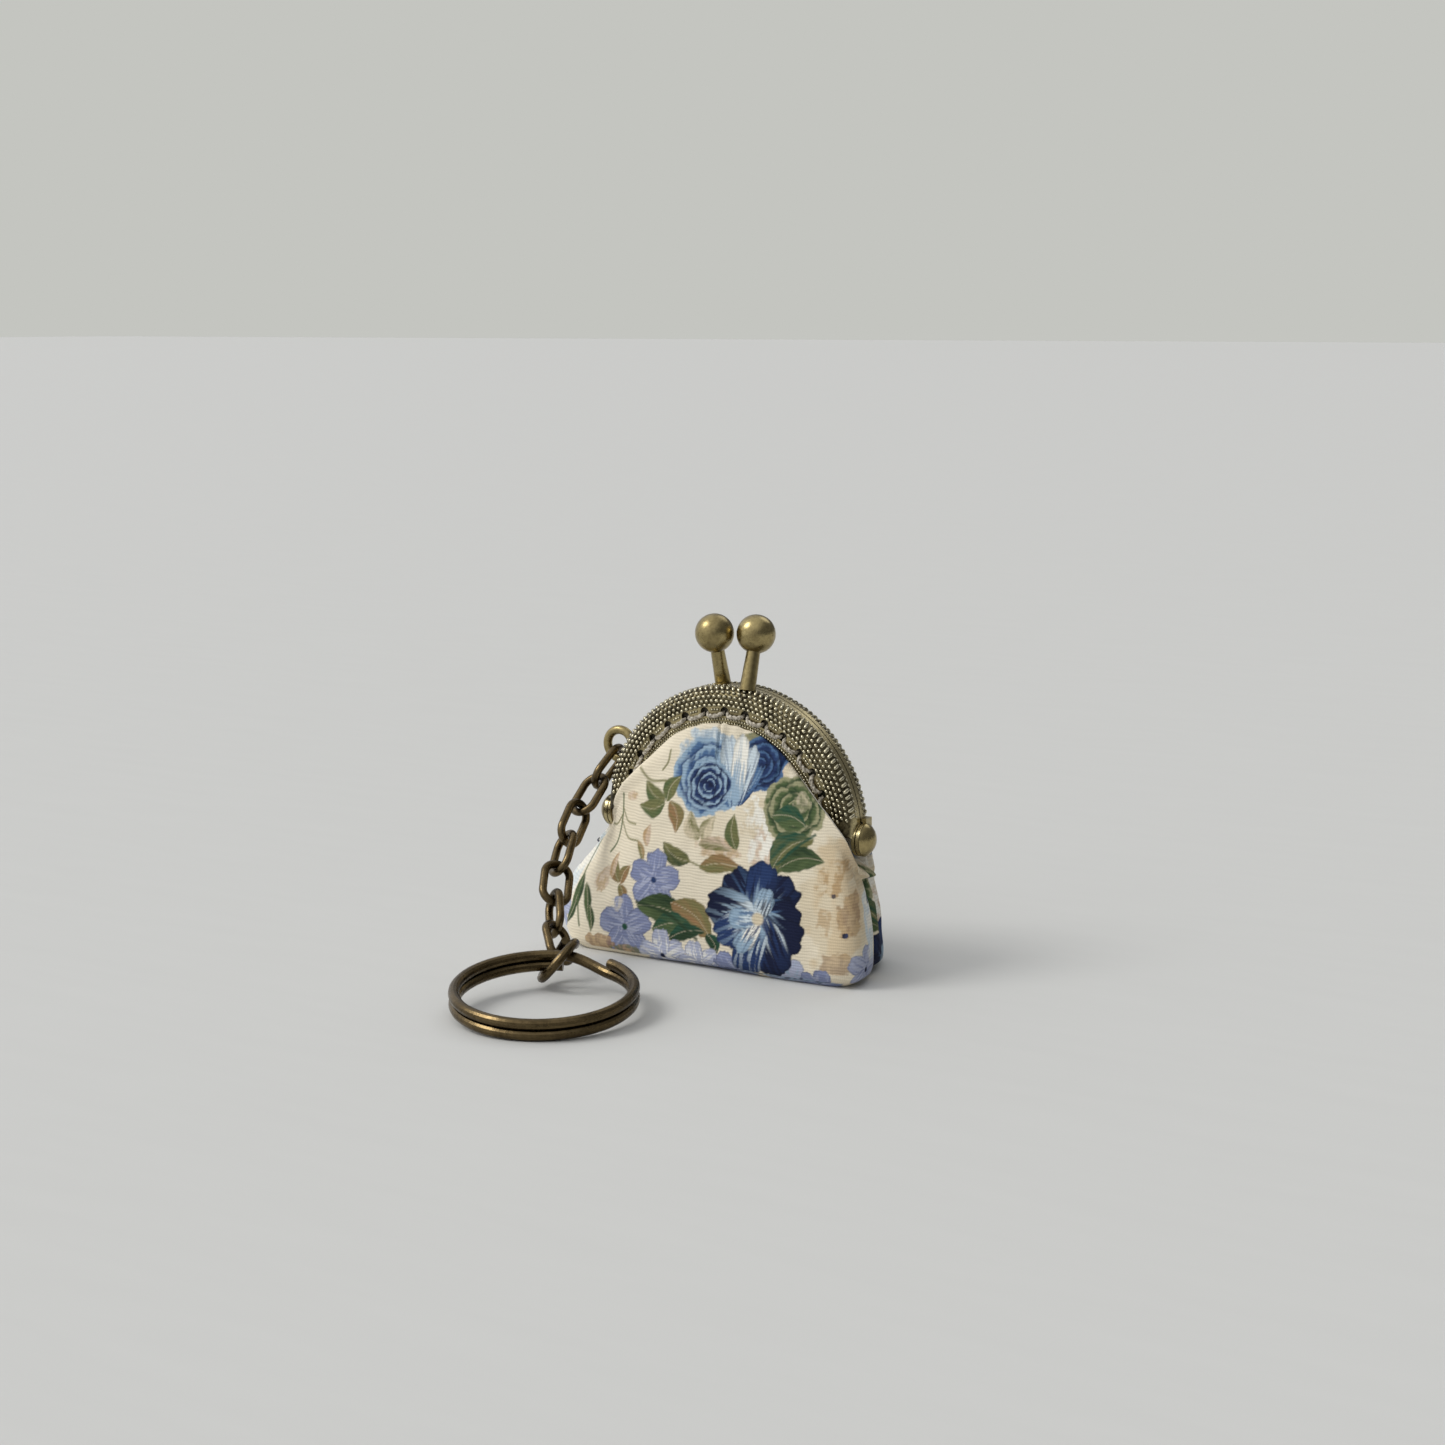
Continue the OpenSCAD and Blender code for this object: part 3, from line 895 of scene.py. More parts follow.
@dataclass(frozen=True)
class Wash:
    """A loose patch of watery ink with a ragged edge."""

    x: float
    y: float
    width: float
    height: float
    inks: tuple[Dye, Dye]
    strength: float = 0.8
    grain: float = 1.8
    seed: int = 1

    def paint(self, canvas: Canvas) -> None:
        """Prints the wash on a canvas."""
        chosen = canvas.near(self.x, self.y, max(self.width, self.height) * 0.75)
        u, v = canvas.u[chosen] - self.x, canvas.v[chosen] - self.y
        r = np.hypot(u / (self.width / 2), v / (self.height / 2))
        ragged = cloudy(u / self.grain + 50, v / self.grain + 50, self.seed)
        fleck = cloudy(u / self.grain * 1.9 + 9, v / self.grain * 1.1 + 9, self.seed + 6)
        cover = smoothstep(0.0, 0.18, 1 - r + 0.9 * (ragged - 0.5)) * self.strength
        canvas.lay(chosen, cover, blended(smoothstep(0.35, 0.65, fleck), *self.inks))


D = Dye
PANSY = Blossom(
    8.7, 8.3,
    (
        Petal(128, 7.6, 6.0, D.INK, D.NAVY, D.BLUE, 0.25),
        Petal(48, 7.4, 6.0, D.SKY, D.NAVY, D.INK, 0.35),
        Petal(88, 7.8, 5.6, D.SKY, D.INK, D.NAVY, 0.35),
        Petal(12, 6.4, 5.4, D.BLUE, D.NAVY, D.NAVY, 0.3),
        Petal(-24, 7.2, 5.8, D.SKY, D.NAVY, D.NAVY, 0.3),
        Petal(-62, 8.2, 6.2, D.ICE, D.NAVY, D.INK, 0.3),
        Petal(-104, 8.0, 5.6, D.SKY, D.INK, D.ICE, 0.35),
        Petal(172, 8.2, 6.4, D.ICE, D.NAVY, D.SKY, 0.42),
        Petal(208, 7.2, 5.0, D.ICE, D.INK, D.SKY, 0.40),
        Petal(-120, 5.6, 3.4, D.WHITE, D.SKY, D.INK, 0.6),
        Petal(186, 4.6, 3.2, D.ICE, D.SKY, D.BLUE, 0.5),
        Petal(70, 4.4, 3.0, D.ICE, D.SKY, D.NAVY, 0.5),
    ),
    D.SAND, 1.1, 3,
)
PALE_PETALS = Blossom(
    3.4, 22.8,
    (
        Petal(62, 6.8, 2.6, D.INK, D.BLUE, D.SKY, 0.4),
        Petal(116, 8.2, 2.6, D.BLUE, D.SKY, D.INK, 0.3),
        Petal(104, 9.6, 3.0, D.SKY, D.ICE, D.BLUE, 0.3),
        Petal(76, 8.6, 2.8, D.SKY, D.ICE, D.INK, 0.35),
        Petal(90, 9.8, 2.8, D.SKY, D.WHITE, D.SKY, 0.35),
    ),
    D.ICE, 0.4, 9,
)
FLORAL: tuple = (
    Wash(20.4, 12.0, 12.0, 18.0, (D.PEACH, D.SAND), 0.9, 3.0, 21),
    Wash(19.6, 15.0, 4.6, 5.0, (D.TAN, D.PEACH), 0.85, 1.2, 22),
    Wash(22.0, 10.2, 3.6, 6.0, (D.TAN, D.BROWN), 0.7, 1.0, 23),
    Wash(18.6, 9.0, 2.4, 4.6, (D.TAN, D.SAND), 0.6, 1.2, 24),
    Wash(20.8, 3.6, 5.0, 3.6, (D.TAN, D.BROWN), 0.65, 1.1, 25),
    Wash(17.6, 13.6, 2.0, 2.2, (D.TAN, D.SAND), 0.5, 1.0, 26),
    Wash(8.8, 27.6, 4.4, 5.4, (D.PINK, D.SAND), 0.8, 1.3, 31),
    Wash(7.4, 21.6, 5.4, 6.4, (D.WHITE, D.SAND), 0.95, 1.2, 32),
    Wash(8.6, 17.4, 4.4, 6.0, (D.WHITE, D.PINK), 0.9, 1.0, 33),
    Wash(1.6, 17.2, 7.0, 3.4, (D.PINK, D.TAN), 0.7, 1.2, 34),
    Wash(-1.2, 31.4, 8.0, 4.0, (D.SKY, D.ICE), 0.85, 1.1, 37),
    Wash(-5.4, 28.6, 2.6, 5.0, (D.SKY, D.ICE), 0.7, 0.9, 30),
    Wash(5.0, 32.2, 5.0, 2.2, (D.OLIVE, D.GREEN), 0.85, 1.0, 38),
    Rose(6.6, 29.0, 3.6, D.NAVY, D.INK, D.BLUE, 8),
    Rose(-1.2, 26.6, 5.2, D.INK, D.BLUE, D.SKY, 2),
    PALE_PETALS,
    Rose(-0.9, 25.4, 3.4, D.NAVY, D.INK, D.SKY, 4),
    Rose(12.6, 23.6, 4.4, D.FOREST, D.GREEN, D.SAGE, 5),
    Wash(13.8, 24.6, 3.0, 2.6, (D.SAND, D.SAGE), 0.6, 0.8, 39),
    Leaf(9.4, 22.4, 5.4, 3.0, -12, D.GREEN, D.TEAL, 11),
    Leaf(10.2, 15.0, 7.6, 5.0, 40, D.OLIVE, D.TEAL, 12),
    Leaf(11.4, 15.6, 6.6, 3.6, 12, D.GREEN, D.FOREST, 13),
    Stem(((11.0, 16.0), (13.6, 18.6), (16.0, 20.4)), 0.3, D.TEAL),
    Leaf(4.4, 17.2, 5.0, 2.4, 98, D.OLIVE, D.GREEN, 14),
    Leaf(-1.6, 17.8, 4.4, 2.6, 112, D.OLIVE, D.SAND, 15),
    Leaf(-0.6, 17.6, 4.2, 2.4, 70, D.SAND, D.OLIVE, 16),
    Leaf(-1.6, 17.4, 5.6, 2.0, -4, D.OLIVE, D.PINK, 17),
    Leaf(-2.6, 14.8, 5.6, 2.8, 154, D.OLIVE, D.FOREST, 18),
    Leaf(-1.2, 14.2, 7.2, 2.8, 4, D.OLIVE, D.BROWN, 19),
    Stem(((-2.8, 14.9), (-0.6, 14.4), (2.6, 14.6)), 0.22, D.OLIVE),
    Leaf(-7.6, 22.6, 4.6, 2.6, 146, D.OLIVE, D.GREEN, 41),
    Leaf(-7.6, 22.4, 4.8, 2.8, 190, D.OLIVE, D.GREEN, 42),
    Leaf(-7.4, 22.6, 4.2, 2.6, 62, D.OLIVE, D.GREEN, 43),
    Leaf(-6.8, 22.8, 4.6, 2.8, -72, D.BROWN, D.OLIVE, 44),
    Stem(((-12.6, 26.6), (-10.6, 25.2), (-8.0, 25.4)), 0.28, D.OLIVE),
    Stem(((-7.8, 29.6), (-8.0, 28.0), (-8.8, 26.8)), 0.22, D.OLIVE),
    Wash(-13.8, 22.6, 2.8, 1.4, (D.PINK, D.TAN), 0.7, 0.8, 45),
    Stem(((-16.0, 22.6), (-16.2, 19.6), (-17.0, 16.0), (-18.6, 14.0)), 0.3, D.GREEN),
    Stem(((-16.1, 20.6), (-14.8, 19.0), (-12.8, 18.8)), 0.22, D.OLIVE),
    Stem(((-16.4, 18.8), (-14.4, 16.8), (-12.0, 16.6)), 0.22, D.OLIVE),
    Stem(((-16.2, 19.6), (-17.8, 18.0), (-19.4, 17.6)), 0.22, D.OLIVE),
    Leaf(-12.0, 16.8, 3.6, 1.3, -68, D.OLIVE, D.TAN, 46),
    Leaf(-10.2, 16.0, 3.4, 1.6, 84, D.PINK, D.TAN, 47),
    Wash(-18.4, 10.4, 3.2, 3.4, (D.TAN, D.PINK), 0.7, 0.9, 48),
    Leaf(-14.6, 10.4, 3.6, 2.4, 118, D.OLIVE, D.BROWN, 49),
    Leaf(-14.4, 10.2, 3.4, 2.0, 60, D.BROWN, D.OLIVE, 50),
    Leaf(-14.6, 10.2, 2.8, 2.0, -70, D.OLIVE, D.BROWN, 51),
    Leaf(-16.6, 10.6, 4.0, 1.8, 80, D.PINK, D.TAN, 52),
    daisy(-8.4, 11.6, 4.0, D.PERIWINKLE, D.LILAC, D.INK, 6),
    daisy(-12.9, 4.4, 4.2, D.PERIWINKLE, D.LILAC, D.TEAL, 7),
    Wash(-14.4, 7.4, 2.8, 2.2, (D.LILAC, D.CREAM), 0.6, 0.8, 53),
    Leaf(-11.0, 7.8, 9.6, 4.4, -14, D.GREEN, D.FOREST, 54),
    Leaf(-5.4, 8.8, 8.6, 4.4, -34, D.BROWN, D.OLIVE, 55),
    Leaf(-8.4, 4.6, 7.4, 3.4, 8, D.GREEN, D.TEAL, 56),
    Leaf(-5.6, 3.6, 6.4, 2.6, 16, D.FOREST, D.TEAL, 57),
    Stem(((-11.0, 8.2), (-6.0, 7.2), (-1.0, 4.2)), 0.4, D.FOREST),
    Leaf(0.6, 5.2, 3.4, 2.2, -60, D.FOREST, D.TEAL, 58),
    Leaf(2.0, 3.4, 3.6, 1.8, -120, D.GREEN, D.FOREST, 59),
    Leaf(-22.4, 10.6, 6.4, 1.8, -96, D.GREEN, D.FOREST, 60),
    Leaf(-21.4, 9.4, 5.6, 1.6, -70, D.GREEN, D.FOREST, 61),
    Leaf(-22.2, 6.8, 4.4, 1.5, -120, D.GREEN, D.FOREST, 62),
    Leaf(-19.6, 6.6, 4.2, 1.4, -80, D.GREEN, D.FOREST, 63),
    Stem(((-22.6, 14.6), (-22.4, 9.0), (-21.0, 3.4)), 0.26, D.GREEN),
    Wash(-17.4, 1.6, 5.0, 2.4, (D.BROWN, D.TAN), 0.8, 0.9, 64),
    Wash(-12.6, 0.8, 7.0, 2.0, (D.TAN, D.OLIVE), 0.8, 0.8, 65),
    daisy(-6.6, 1.0, 3.6, D.LILAC, D.WHITE, D.NAVY, 66),
    daisy(-0.6, 0.4, 3.4, D.LILAC, D.WHITE, D.NAVY, 67),
    daisy(4.8, -0.4, 3.6, D.PERIWINKLE, D.LILAC, D.NAVY, 68),
    daisy(13.4, 0.2, 3.4, D.LILAC, D.SKY, D.NAVY, 69),
    daisy(18.0, -0.6, 3.0, D.PERIWINKLE, D.LILAC, D.NAVY, 70),
    daisy(25.4, 2.4, 3.2, D.LILAC, D.PERIWINKLE, D.NAVY, 71),
    Wash(12.0, 0.0, 22.0, 1.6, (D.SKY, D.NAVY), 0.7, 0.9, 72),
    PANSY,
    Wash(21.6, 7.4, 0.9, 0.8, (D.NAVY, D.INK), 0.95, 0.5, 73),
    Wash(19.6, 12.6, 0.7, 0.6, (D.INK, D.NAVY), 0.8, 0.5, 74),
    Wash(27.4, 9.8, 5.4, 12.0, (D.WHITE, D.ICE), 0.85, 2.0, 75),
    Leaf(25.4, 20.0, 6.4, 2.8, -74, D.GREEN, D.FOREST, 76),
    Wash(26.0, 14.0, 0.7, 1.5, (D.NAVY, D.INK), 0.9, 0.6, 77),
    Wash(26.6, 11.2, 0.7, 1.3, (D.NAVY, D.INK), 0.9, 0.6, 78),
    Wash(26.2, 8.2, 0.9, 0.9, (D.NAVY, D.INK), 0.9, 0.6, 79),
)


@dataclass(frozen=True)
class Print:
    """The floral print, laid once or more over a stretch of cloth."""

    motifs: tuple
    shifts: tuple[tuple[float, float], ...] = ((0.0, 0.0),)

    def paint(self, u: Array, v: Array) -> Array:
        """Prints the cloth.

        Args:
            u: How far each point lies to the right on the flat cloth, in millimetres.
            v: How far up.

        Returns:
            The linear colour of each point.
        """
        canvas = Canvas(u, v)
        for right, up in self.shifts:
            canvas.u, canvas.v = u - right, v - up
            for motif in self.motifs:
                motif.paint(canvas)
        return canvas.colour


@dataclass
class Arch:
    """Sizes of the half-round frame that the cloth and the beading follow, in millimetres."""

    hinge_z: float
    band_r: float = 14.7
    rim_r: float = 18.1
    rim_round: float = 1.9
    depth: float = 3.0
    hole_r: float = 16.6
    hole_count: int = 15
    hole_start: float = 11.25
    tuck_r: float = 18.3
    tuck_depth: float = 2.05

    def place(self, r: Array, angle: Array, depth: Array, side: int) -> Array:
        """Turns places on the arch into points.

        Args:
            r: Distance from the hinge line's middle.
            angle: Angle from the right-hand hinge, in degrees.
            depth: Distance in front of the parting line, or behind it on the back.
            side: -1 for the front half and 1 for the back half.

        Returns:
            One point a row.
        """
        turn = np.radians(angle)
        depth = np.broadcast_to(depth, np.broadcast(r, turn).shape)
        return np.stack([r * np.cos(turn), side * depth, self.hinge_z + r * np.sin(turn)], -1)

    def profile(self, p: float) -> tuple[float, float, float, float]:
        """Follows the outside of a half from its inner edge over the rim to the parting line.

        Args:
            p: Distance along the section.

        Returns:
            Radius, depth, and the outward direction as radius and depth.
        """
        flat = self.rim_r - self.band_r
        bend = self.rim_round * math.pi / 2
        if p <= flat:
            return self.band_r + p, self.depth, 0.0, 1.0
        if p <= flat + bend:
            a = (p - flat) / self.rim_round
            return (
                self.rim_r + self.rim_round * math.sin(a),
                self.depth - self.rim_round * (1 - math.cos(a)),
                math.sin(a),
                math.cos(a),
            )
        return self.rim_r + self.rim_round, self.depth - self.rim_round - (p - flat - bend), 1.0, 0.0


@dataclass
class ClothHalf:
    """The front or back half of the sewn bag: one cloth from the middle of the base to the frame.

    It is shaped by columns of control points, all in millimetres and for the front half. A column starts
    at the base's middle, turns up at the base's edge, swells by its puff on the way up to where it meets
    the frame, and ends tucked into the channel. Stations run from the left seam to the right one, and
    turns are the angles round the arch where the columns meet it. The chain's room is a soft hollow
    beside the chain: how deep it is, where its middle lies, how far it reaches and which way it goes.
    """

    arch: Arch
    side: int
    stations: tuple[float, ...] = (0, 0.07, 0.14, 0.25, 0.5, 0.75, 0.86, 0.93, 1)
    base_x: tuple[float, ...] = (-24.4, -24.9, -22.6, -17.0, 0.5, 16.4, 22.7, 22.9, 21.6)
    base_y: tuple[float, ...] = (0, 4.0, 8.0, 8.8, 9.2, 8.9, 7.6, 3.8, 0)
    puff_x: tuple[float, ...] = (-3.0, -3.6, -2.4, -1.4, 0, 0.4, 1.2, 1.4, 1.2)
    puff_y: tuple[float, ...] = (0, 0.4, 0.7, 1.1, 1.3, 1.2, 0.8, 0.3, 0)
    over_x: tuple[float, ...] = (-20.7, -20.4, -17.8, -12.6, 0, 12.9, 18.9, 19.8, 19.6)
    over_y: tuple[float, ...] = (0, 2.6, 4.6, 4.5, 3.6, 4.6, 4.9, 2.6, 0)
    over_z: tuple[float, ...] = (15.2, 16.9, 21.8, 27.0, 32.7, 27.2, 21.2, 16.8, 15.2)
    turns: tuple[float, ...] = (180, 175, 166, 141, 90, 39, 14, 5, 0)
    knots: tuple[float, ...] = (
        0, 0.095, 0.171, 0.192, 0.26, 0.369, 0.505, 0.653, 0.783, 0.872, 0.897, 0.918, 1,
    )
    edge_t: float = 0.192
    gate_t: float = 0.918
    crease: float = 0.22
    swell_seed: int = 3
    chain_room: float = 0.0
    chain_at: tuple[float, float, float] = (-21.4, 6.2, 16.5)
    chain_reach: tuple[float, float, float] = (6.5, 5.5, 8.0)
    chain_way: tuple[float, float] = (0.4, -0.9)

    def columns(self, s: Array) -> Array:
        """Builds the control points of each column, from the base's middle to the tucked edge.

        Args:
            s: Where each column stands, from the left seam at 0 to the right seam at 1.

        Returns:
            The control points, by station along the column and then by column.
        """
        table = np.stack(
            [
                self.base_x, self.base_y, self.puff_x, self.puff_y,
                self.over_x, self.over_y, self.over_z, self.turns,
            ],
            1,
        )
        bx, by, px, py, ox, oy, oz, turn = hermite(np.array(self.stations), table, s).T
        zero = np.zeros_like(s)
        base, over = np.stack([bx, by, zero], 1), np.stack([ox, oy, oz], 1)
        puff = np.stack([px, py, zero], 1)
        reach = np.linalg.norm(base, axis=1, keepdims=True)
        lift = np.array([0, 0, 1.0])
        rows = [
            np.stack([bx * 0.9, zero, zero + 0.02], 1),
            np.stack([bx * 0.9, by * 0.45, zero], 1),
            base * (1 - 1.9 / reach) + 0.03 * lift,
            base * (1 - 0.45 / reach) + 0.75 * lift,
        ]
        for share in (0.1, 0.26, 0.46, 0.68, 0.87):
            swell = 4 * share * (1 - share) * (1.25 - 0.5 * share)
            rows.append(base + share * (over - base) + swell * puff)
        rows.append(over)
        inside = smoothstep(0.02, 0.1, np.minimum(s, 1 - s))
        lip_depth = inside * (self.arch.depth + 0.3)
        gate_depth = inside * (self.arch.depth - 0.5)
        for r, depth, drop in (
            (self.arch.band_r + 0.15, lip_depth, 1.0),
            (self.arch.band_r - 0.4, gate_depth, 0.8),
            (self.arch.tuck_r, inside * self.arch.tuck_depth, 0.4),
        ):
            point = self.arch.place(r, turn, depth, 1)
            point[:, 2] -= (1 - inside) * drop
            point[:, 0] *= 1 - (1 - inside) * 0.12
            rows.append(point)
        return np.stack(rows)

    def surface(self, s: Array, t: Array) -> Array:
        """Builds the cloth's points, without wrinkles.

        Args:
            s: Column positions.
            t: Row positions, from 0 at the base's middle to 1 at the tucked edge.

        Returns:
            Points by row, then column, for the front half.
        """
        points = hermite(np.array(self.knots), self.columns(s), t)
        points[..., 2] = np.maximum(points[..., 2], 0.02)
        return points

    def flat_places(self, points: Array, s: Array, t: Array) -> tuple[Array, Array]:
        """Unrolls the cloth roughly flat, so that the print runs over it without stretching.

        Args:
            points: The cloth's points.
            s: Column positions.
            t: Row positions.

        Returns:
            How far each point lies to the right and up on the flat cloth, in millimetres.
        """
        step = np.hypot(np.diff(points[..., 0], axis=1), np.diff(points[..., 1], axis=1))
        run = np.hstack([np.zeros((len(t), 1)), np.cumsum(step, axis=1)])
        left, right = np.searchsorted(s, [0.15, 0.85])
        u = points[..., 0].copy()
        u[:, right:] = u[:, right : right + 1] + run[:, right:] - run[:, right : right + 1]
        u[:, :left] = u[:, left : left + 1] + run[:, :left] - run[:, left : left + 1]
        rise = np.linalg.norm(np.diff(points, axis=0), axis=2)
        up = np.vstack([np.zeros((1, len(s))), np.cumsum(rise, axis=0)])
        edge = int(np.searchsorted(t, self.edge_t))
        v = np.where(np.arange(len(t))[:, None] < edge, up - up[edge : edge + 1], points[..., 2])
        return u, v

    def wrinkled(self, points: Array, u: Array, v: Array, s: Array, t: Array) -> Array:
        """Adds soft dents, gathers below the frame, the pleat and the side seams.

        Args:
            points: The smooth cloth.
            u: Flat places to the right.
            v: Flat places upwards.
            s: Column positions.
            t: Row positions.

        Returns:
            The moved points.
        """
        across = np.gradient(points, axis=1)
        along = np.gradient(points, axis=0)
        normal = np.cross(along, across)
        normal /= np.maximum(np.linalg.norm(normal, axis=2, keepdims=True), 1e-9)
        free = smoothstep(0, 0.06, t - self.edge_t) * smoothstep(0, 0.05, self.gate_t - t)
        free = free[:, None]
        dents = 0.75 * (cloudy(u / 9 + 3, v / 9 + 3, self.swell_seed, 2) - 0.5)
        dents += 0.22 * (cloudy(u / 2.6, v / 3.4, self.swell_seed + 5, 2) - 0.5)
        below = (self.gate_t - t)[:, None]
        gathers = 0.28 * (noise(s[None] * 46, v * 0.12, self.swell_seed + 9) - 0.5)
        gathers = gathers * np.exp(-np.maximum(below, 0) / 0.07)
        pleat_u = -0.4 + 0.03 * (33 - v)
        pleat = smoothstep(26.5, 31.5, v) * (
            0.42 * np.exp(-(((u - pleat_u - 0.55) / 0.6) ** 2))
            - 0.55 * np.exp(-(((u - pleat_u) / 0.22) ** 2))
        )
        tuck = smoothstep(25.5, 28.5, v) * -0.35 * np.exp(-(((u - 9.4 - (v - 28) * 0.4) / 0.3) ** 2))
        apart = np.minimum(s, 1 - s)[None]
        seam = np.sign(s - 0.5)[None] * -self.crease * np.exp(-((apart / 0.006) ** 2)) * free
        closed = smoothstep(0.0, 0.035, apart)
        fold_s = 0.955 - 0.02 * v / 20
        gusset = -0.5 * np.exp(-(((s[None] - fold_s) / 0.016) ** 2)) * smoothstep(3, 9, v)
        move = (dents + pleat + tuck + gusset) * free + gathers * (t[:, None] > self.edge_t)
        moved = points + (move * closed)[..., None] * normal
        moved[..., 0] += seam
        return moved

    def build(
        self, name: str, columns: int, rows: int, material: bpy.types.Material, inset: float = 0.0
    ) -> tuple[bpy.types.Object, Array, Array, Array]:
        """Makes the half as a piece.

        Args:
            name: The piece's name.
            columns: How many columns of points.
            rows: How many rows.
            material: Its finish.
            inset: How far inside the outer cloth it lies.

        Returns:
            The piece, its flat places to the right and up, and its row positions.
        """
        s = np.linspace(0, 1, columns)
        hidden = rows // 12
        t = np.concatenate(
            [
                np.linspace(0, self.edge_t - 0.03, hidden, endpoint=False),
                np.linspace(self.edge_t - 0.03, self.gate_t, rows - 2 * hidden, endpoint=False),
                np.linspace(self.gate_t, 1, hidden),
            ]
        )
        points = self.surface(s, t)
        u, v = self.flat_places(points, s, t)
        points = self.wrinkled(points, u, v, s, t)
        beside = np.linalg.norm((points - np.array(self.chain_at)) / np.array(self.chain_reach), axis=2)
        room = self.chain_room * np.exp(-(beside**2)) * smoothstep(0.0, 0.04, s)[None]
        points[..., :2] += room[..., None] * np.array(self.chain_way)
        if inset:
            outward = points[..., :2] / np.array([24.0, 9.0]) ** 2
            outward /= np.maximum(np.linalg.norm(outward, axis=2, keepdims=True), 1e-9)
            points[..., :2] -= inset * outward
        points[..., 1] *= self.side
        points[..., 2] = np.maximum(points[..., 2], 0.03 + inset)
        faces = grid_faces(rows, columns, flip=self.side > 0)
        piece = make_piece(name, points.reshape(-1, 3), faces, material)
        places = np.stack([u, v, np.zeros_like(u)], -1).reshape(-1, 3)
        add_vectors(piece, "cloth_place", places)
        return piece, u.ravel(), v.ravel(), np.repeat(t, columns)


@dataclass
class Bag:
    """The sewn bag: two printed halves and two lining halves."""

    arch: Arch
    columns: int = 416
    rows: int = 236
    lining_columns: int = 120
    lining_rows: int = 70
    lining_inset: float = 0.85
    pieces: list[bpy.types.Object] = field(default_factory=list)

    def build(self, cotton: bpy.types.Material, lining: bpy.types.Material) -> None:
        """Builds and places all four halves.

        Args:
            cotton: The printed cotton.
            lining: The plain lining.
        """
        halves = (
            (
                "front",
                -1,
                ClothHalf(self.arch, -1, chain_room=3.8),
                Print(FLORAL, ((-52.0, 3.0), (0.0, 0.0))),
            ),
            (
                "back",
                1,
                ClothHalf(
                    self.arch, 1,
                    base_x=(-24.4, -24.4, -22.0, -16.6, -0.5, 13.8, 18.6, 20.8, 21.6),
                    puff_x=(-3.0, -3.2, -2.4, -1.0, 0, 0.2, 0.4, 0.9, 1.2),
                    base_y=(0, 4.2, 8.2, 9.0, 9.2, 9.0, 8.4, 4.6, 0),
                    over_x=(-20.7, -20.4, -17.4, -12.4, 0, 12.4, 17.2, 19.4, 19.6),
                    over_y=(0, 2.4, 4.2, 4.4, 3.6, 4.4, 4.0, 2.4, 0),
                    over_z=(15.2, 16.4, 21.4, 27.0, 32.7, 27.2, 21.2, 16.0, 15.2),
                    swell_seed=11,
                ),
                Print(FLORAL, ((-34.0, -6.0), (14.0, -9.0), (-12.0, 19.0), (-14.0, 5.0))),
            ),
        )
        for label, side, half, pattern in halves:
            cloth, u, v, t = half.build(f"{label}_printed_cloth", self.columns, self.rows, cotton)
            colour = pattern.paint(u, v)
            # Painted shade: the cloth tucked into the frame's channel is darkened to 15 per cent of its
            # print, standing in for the shadow seen through the holes.
            hidden = smoothstep(half.gate_t - 0.002, half.gate_t + 0.012, t)[:, None]
            add_colours(cloth, "print", colour * (1 - 0.85 * hidden))
            inner, *_ = half.build(
                f"{label}_plain_lining", self.lining_columns, self.lining_rows, lining, self.lining_inset
            )
            for piece, inset in ((cloth, 0.0), (inner, self.lining_inset)):
                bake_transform(piece)
            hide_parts(f"{label}_panel", *(["bag_body"] if side < 0 else []))
            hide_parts(f"{label}_lining", *(["lining_body"] if side < 0 else []))
            self.pieces += [cloth, inner]


@dataclass(frozen=True)
class BeadRow:
    """One row of stamped beads round the arch, in millimetres."""

    along: float
    count: int
    width: float
    length: float
    height: float
    slant: float = 0.0
    offset: float = 0.0
    between_holes: bool = False


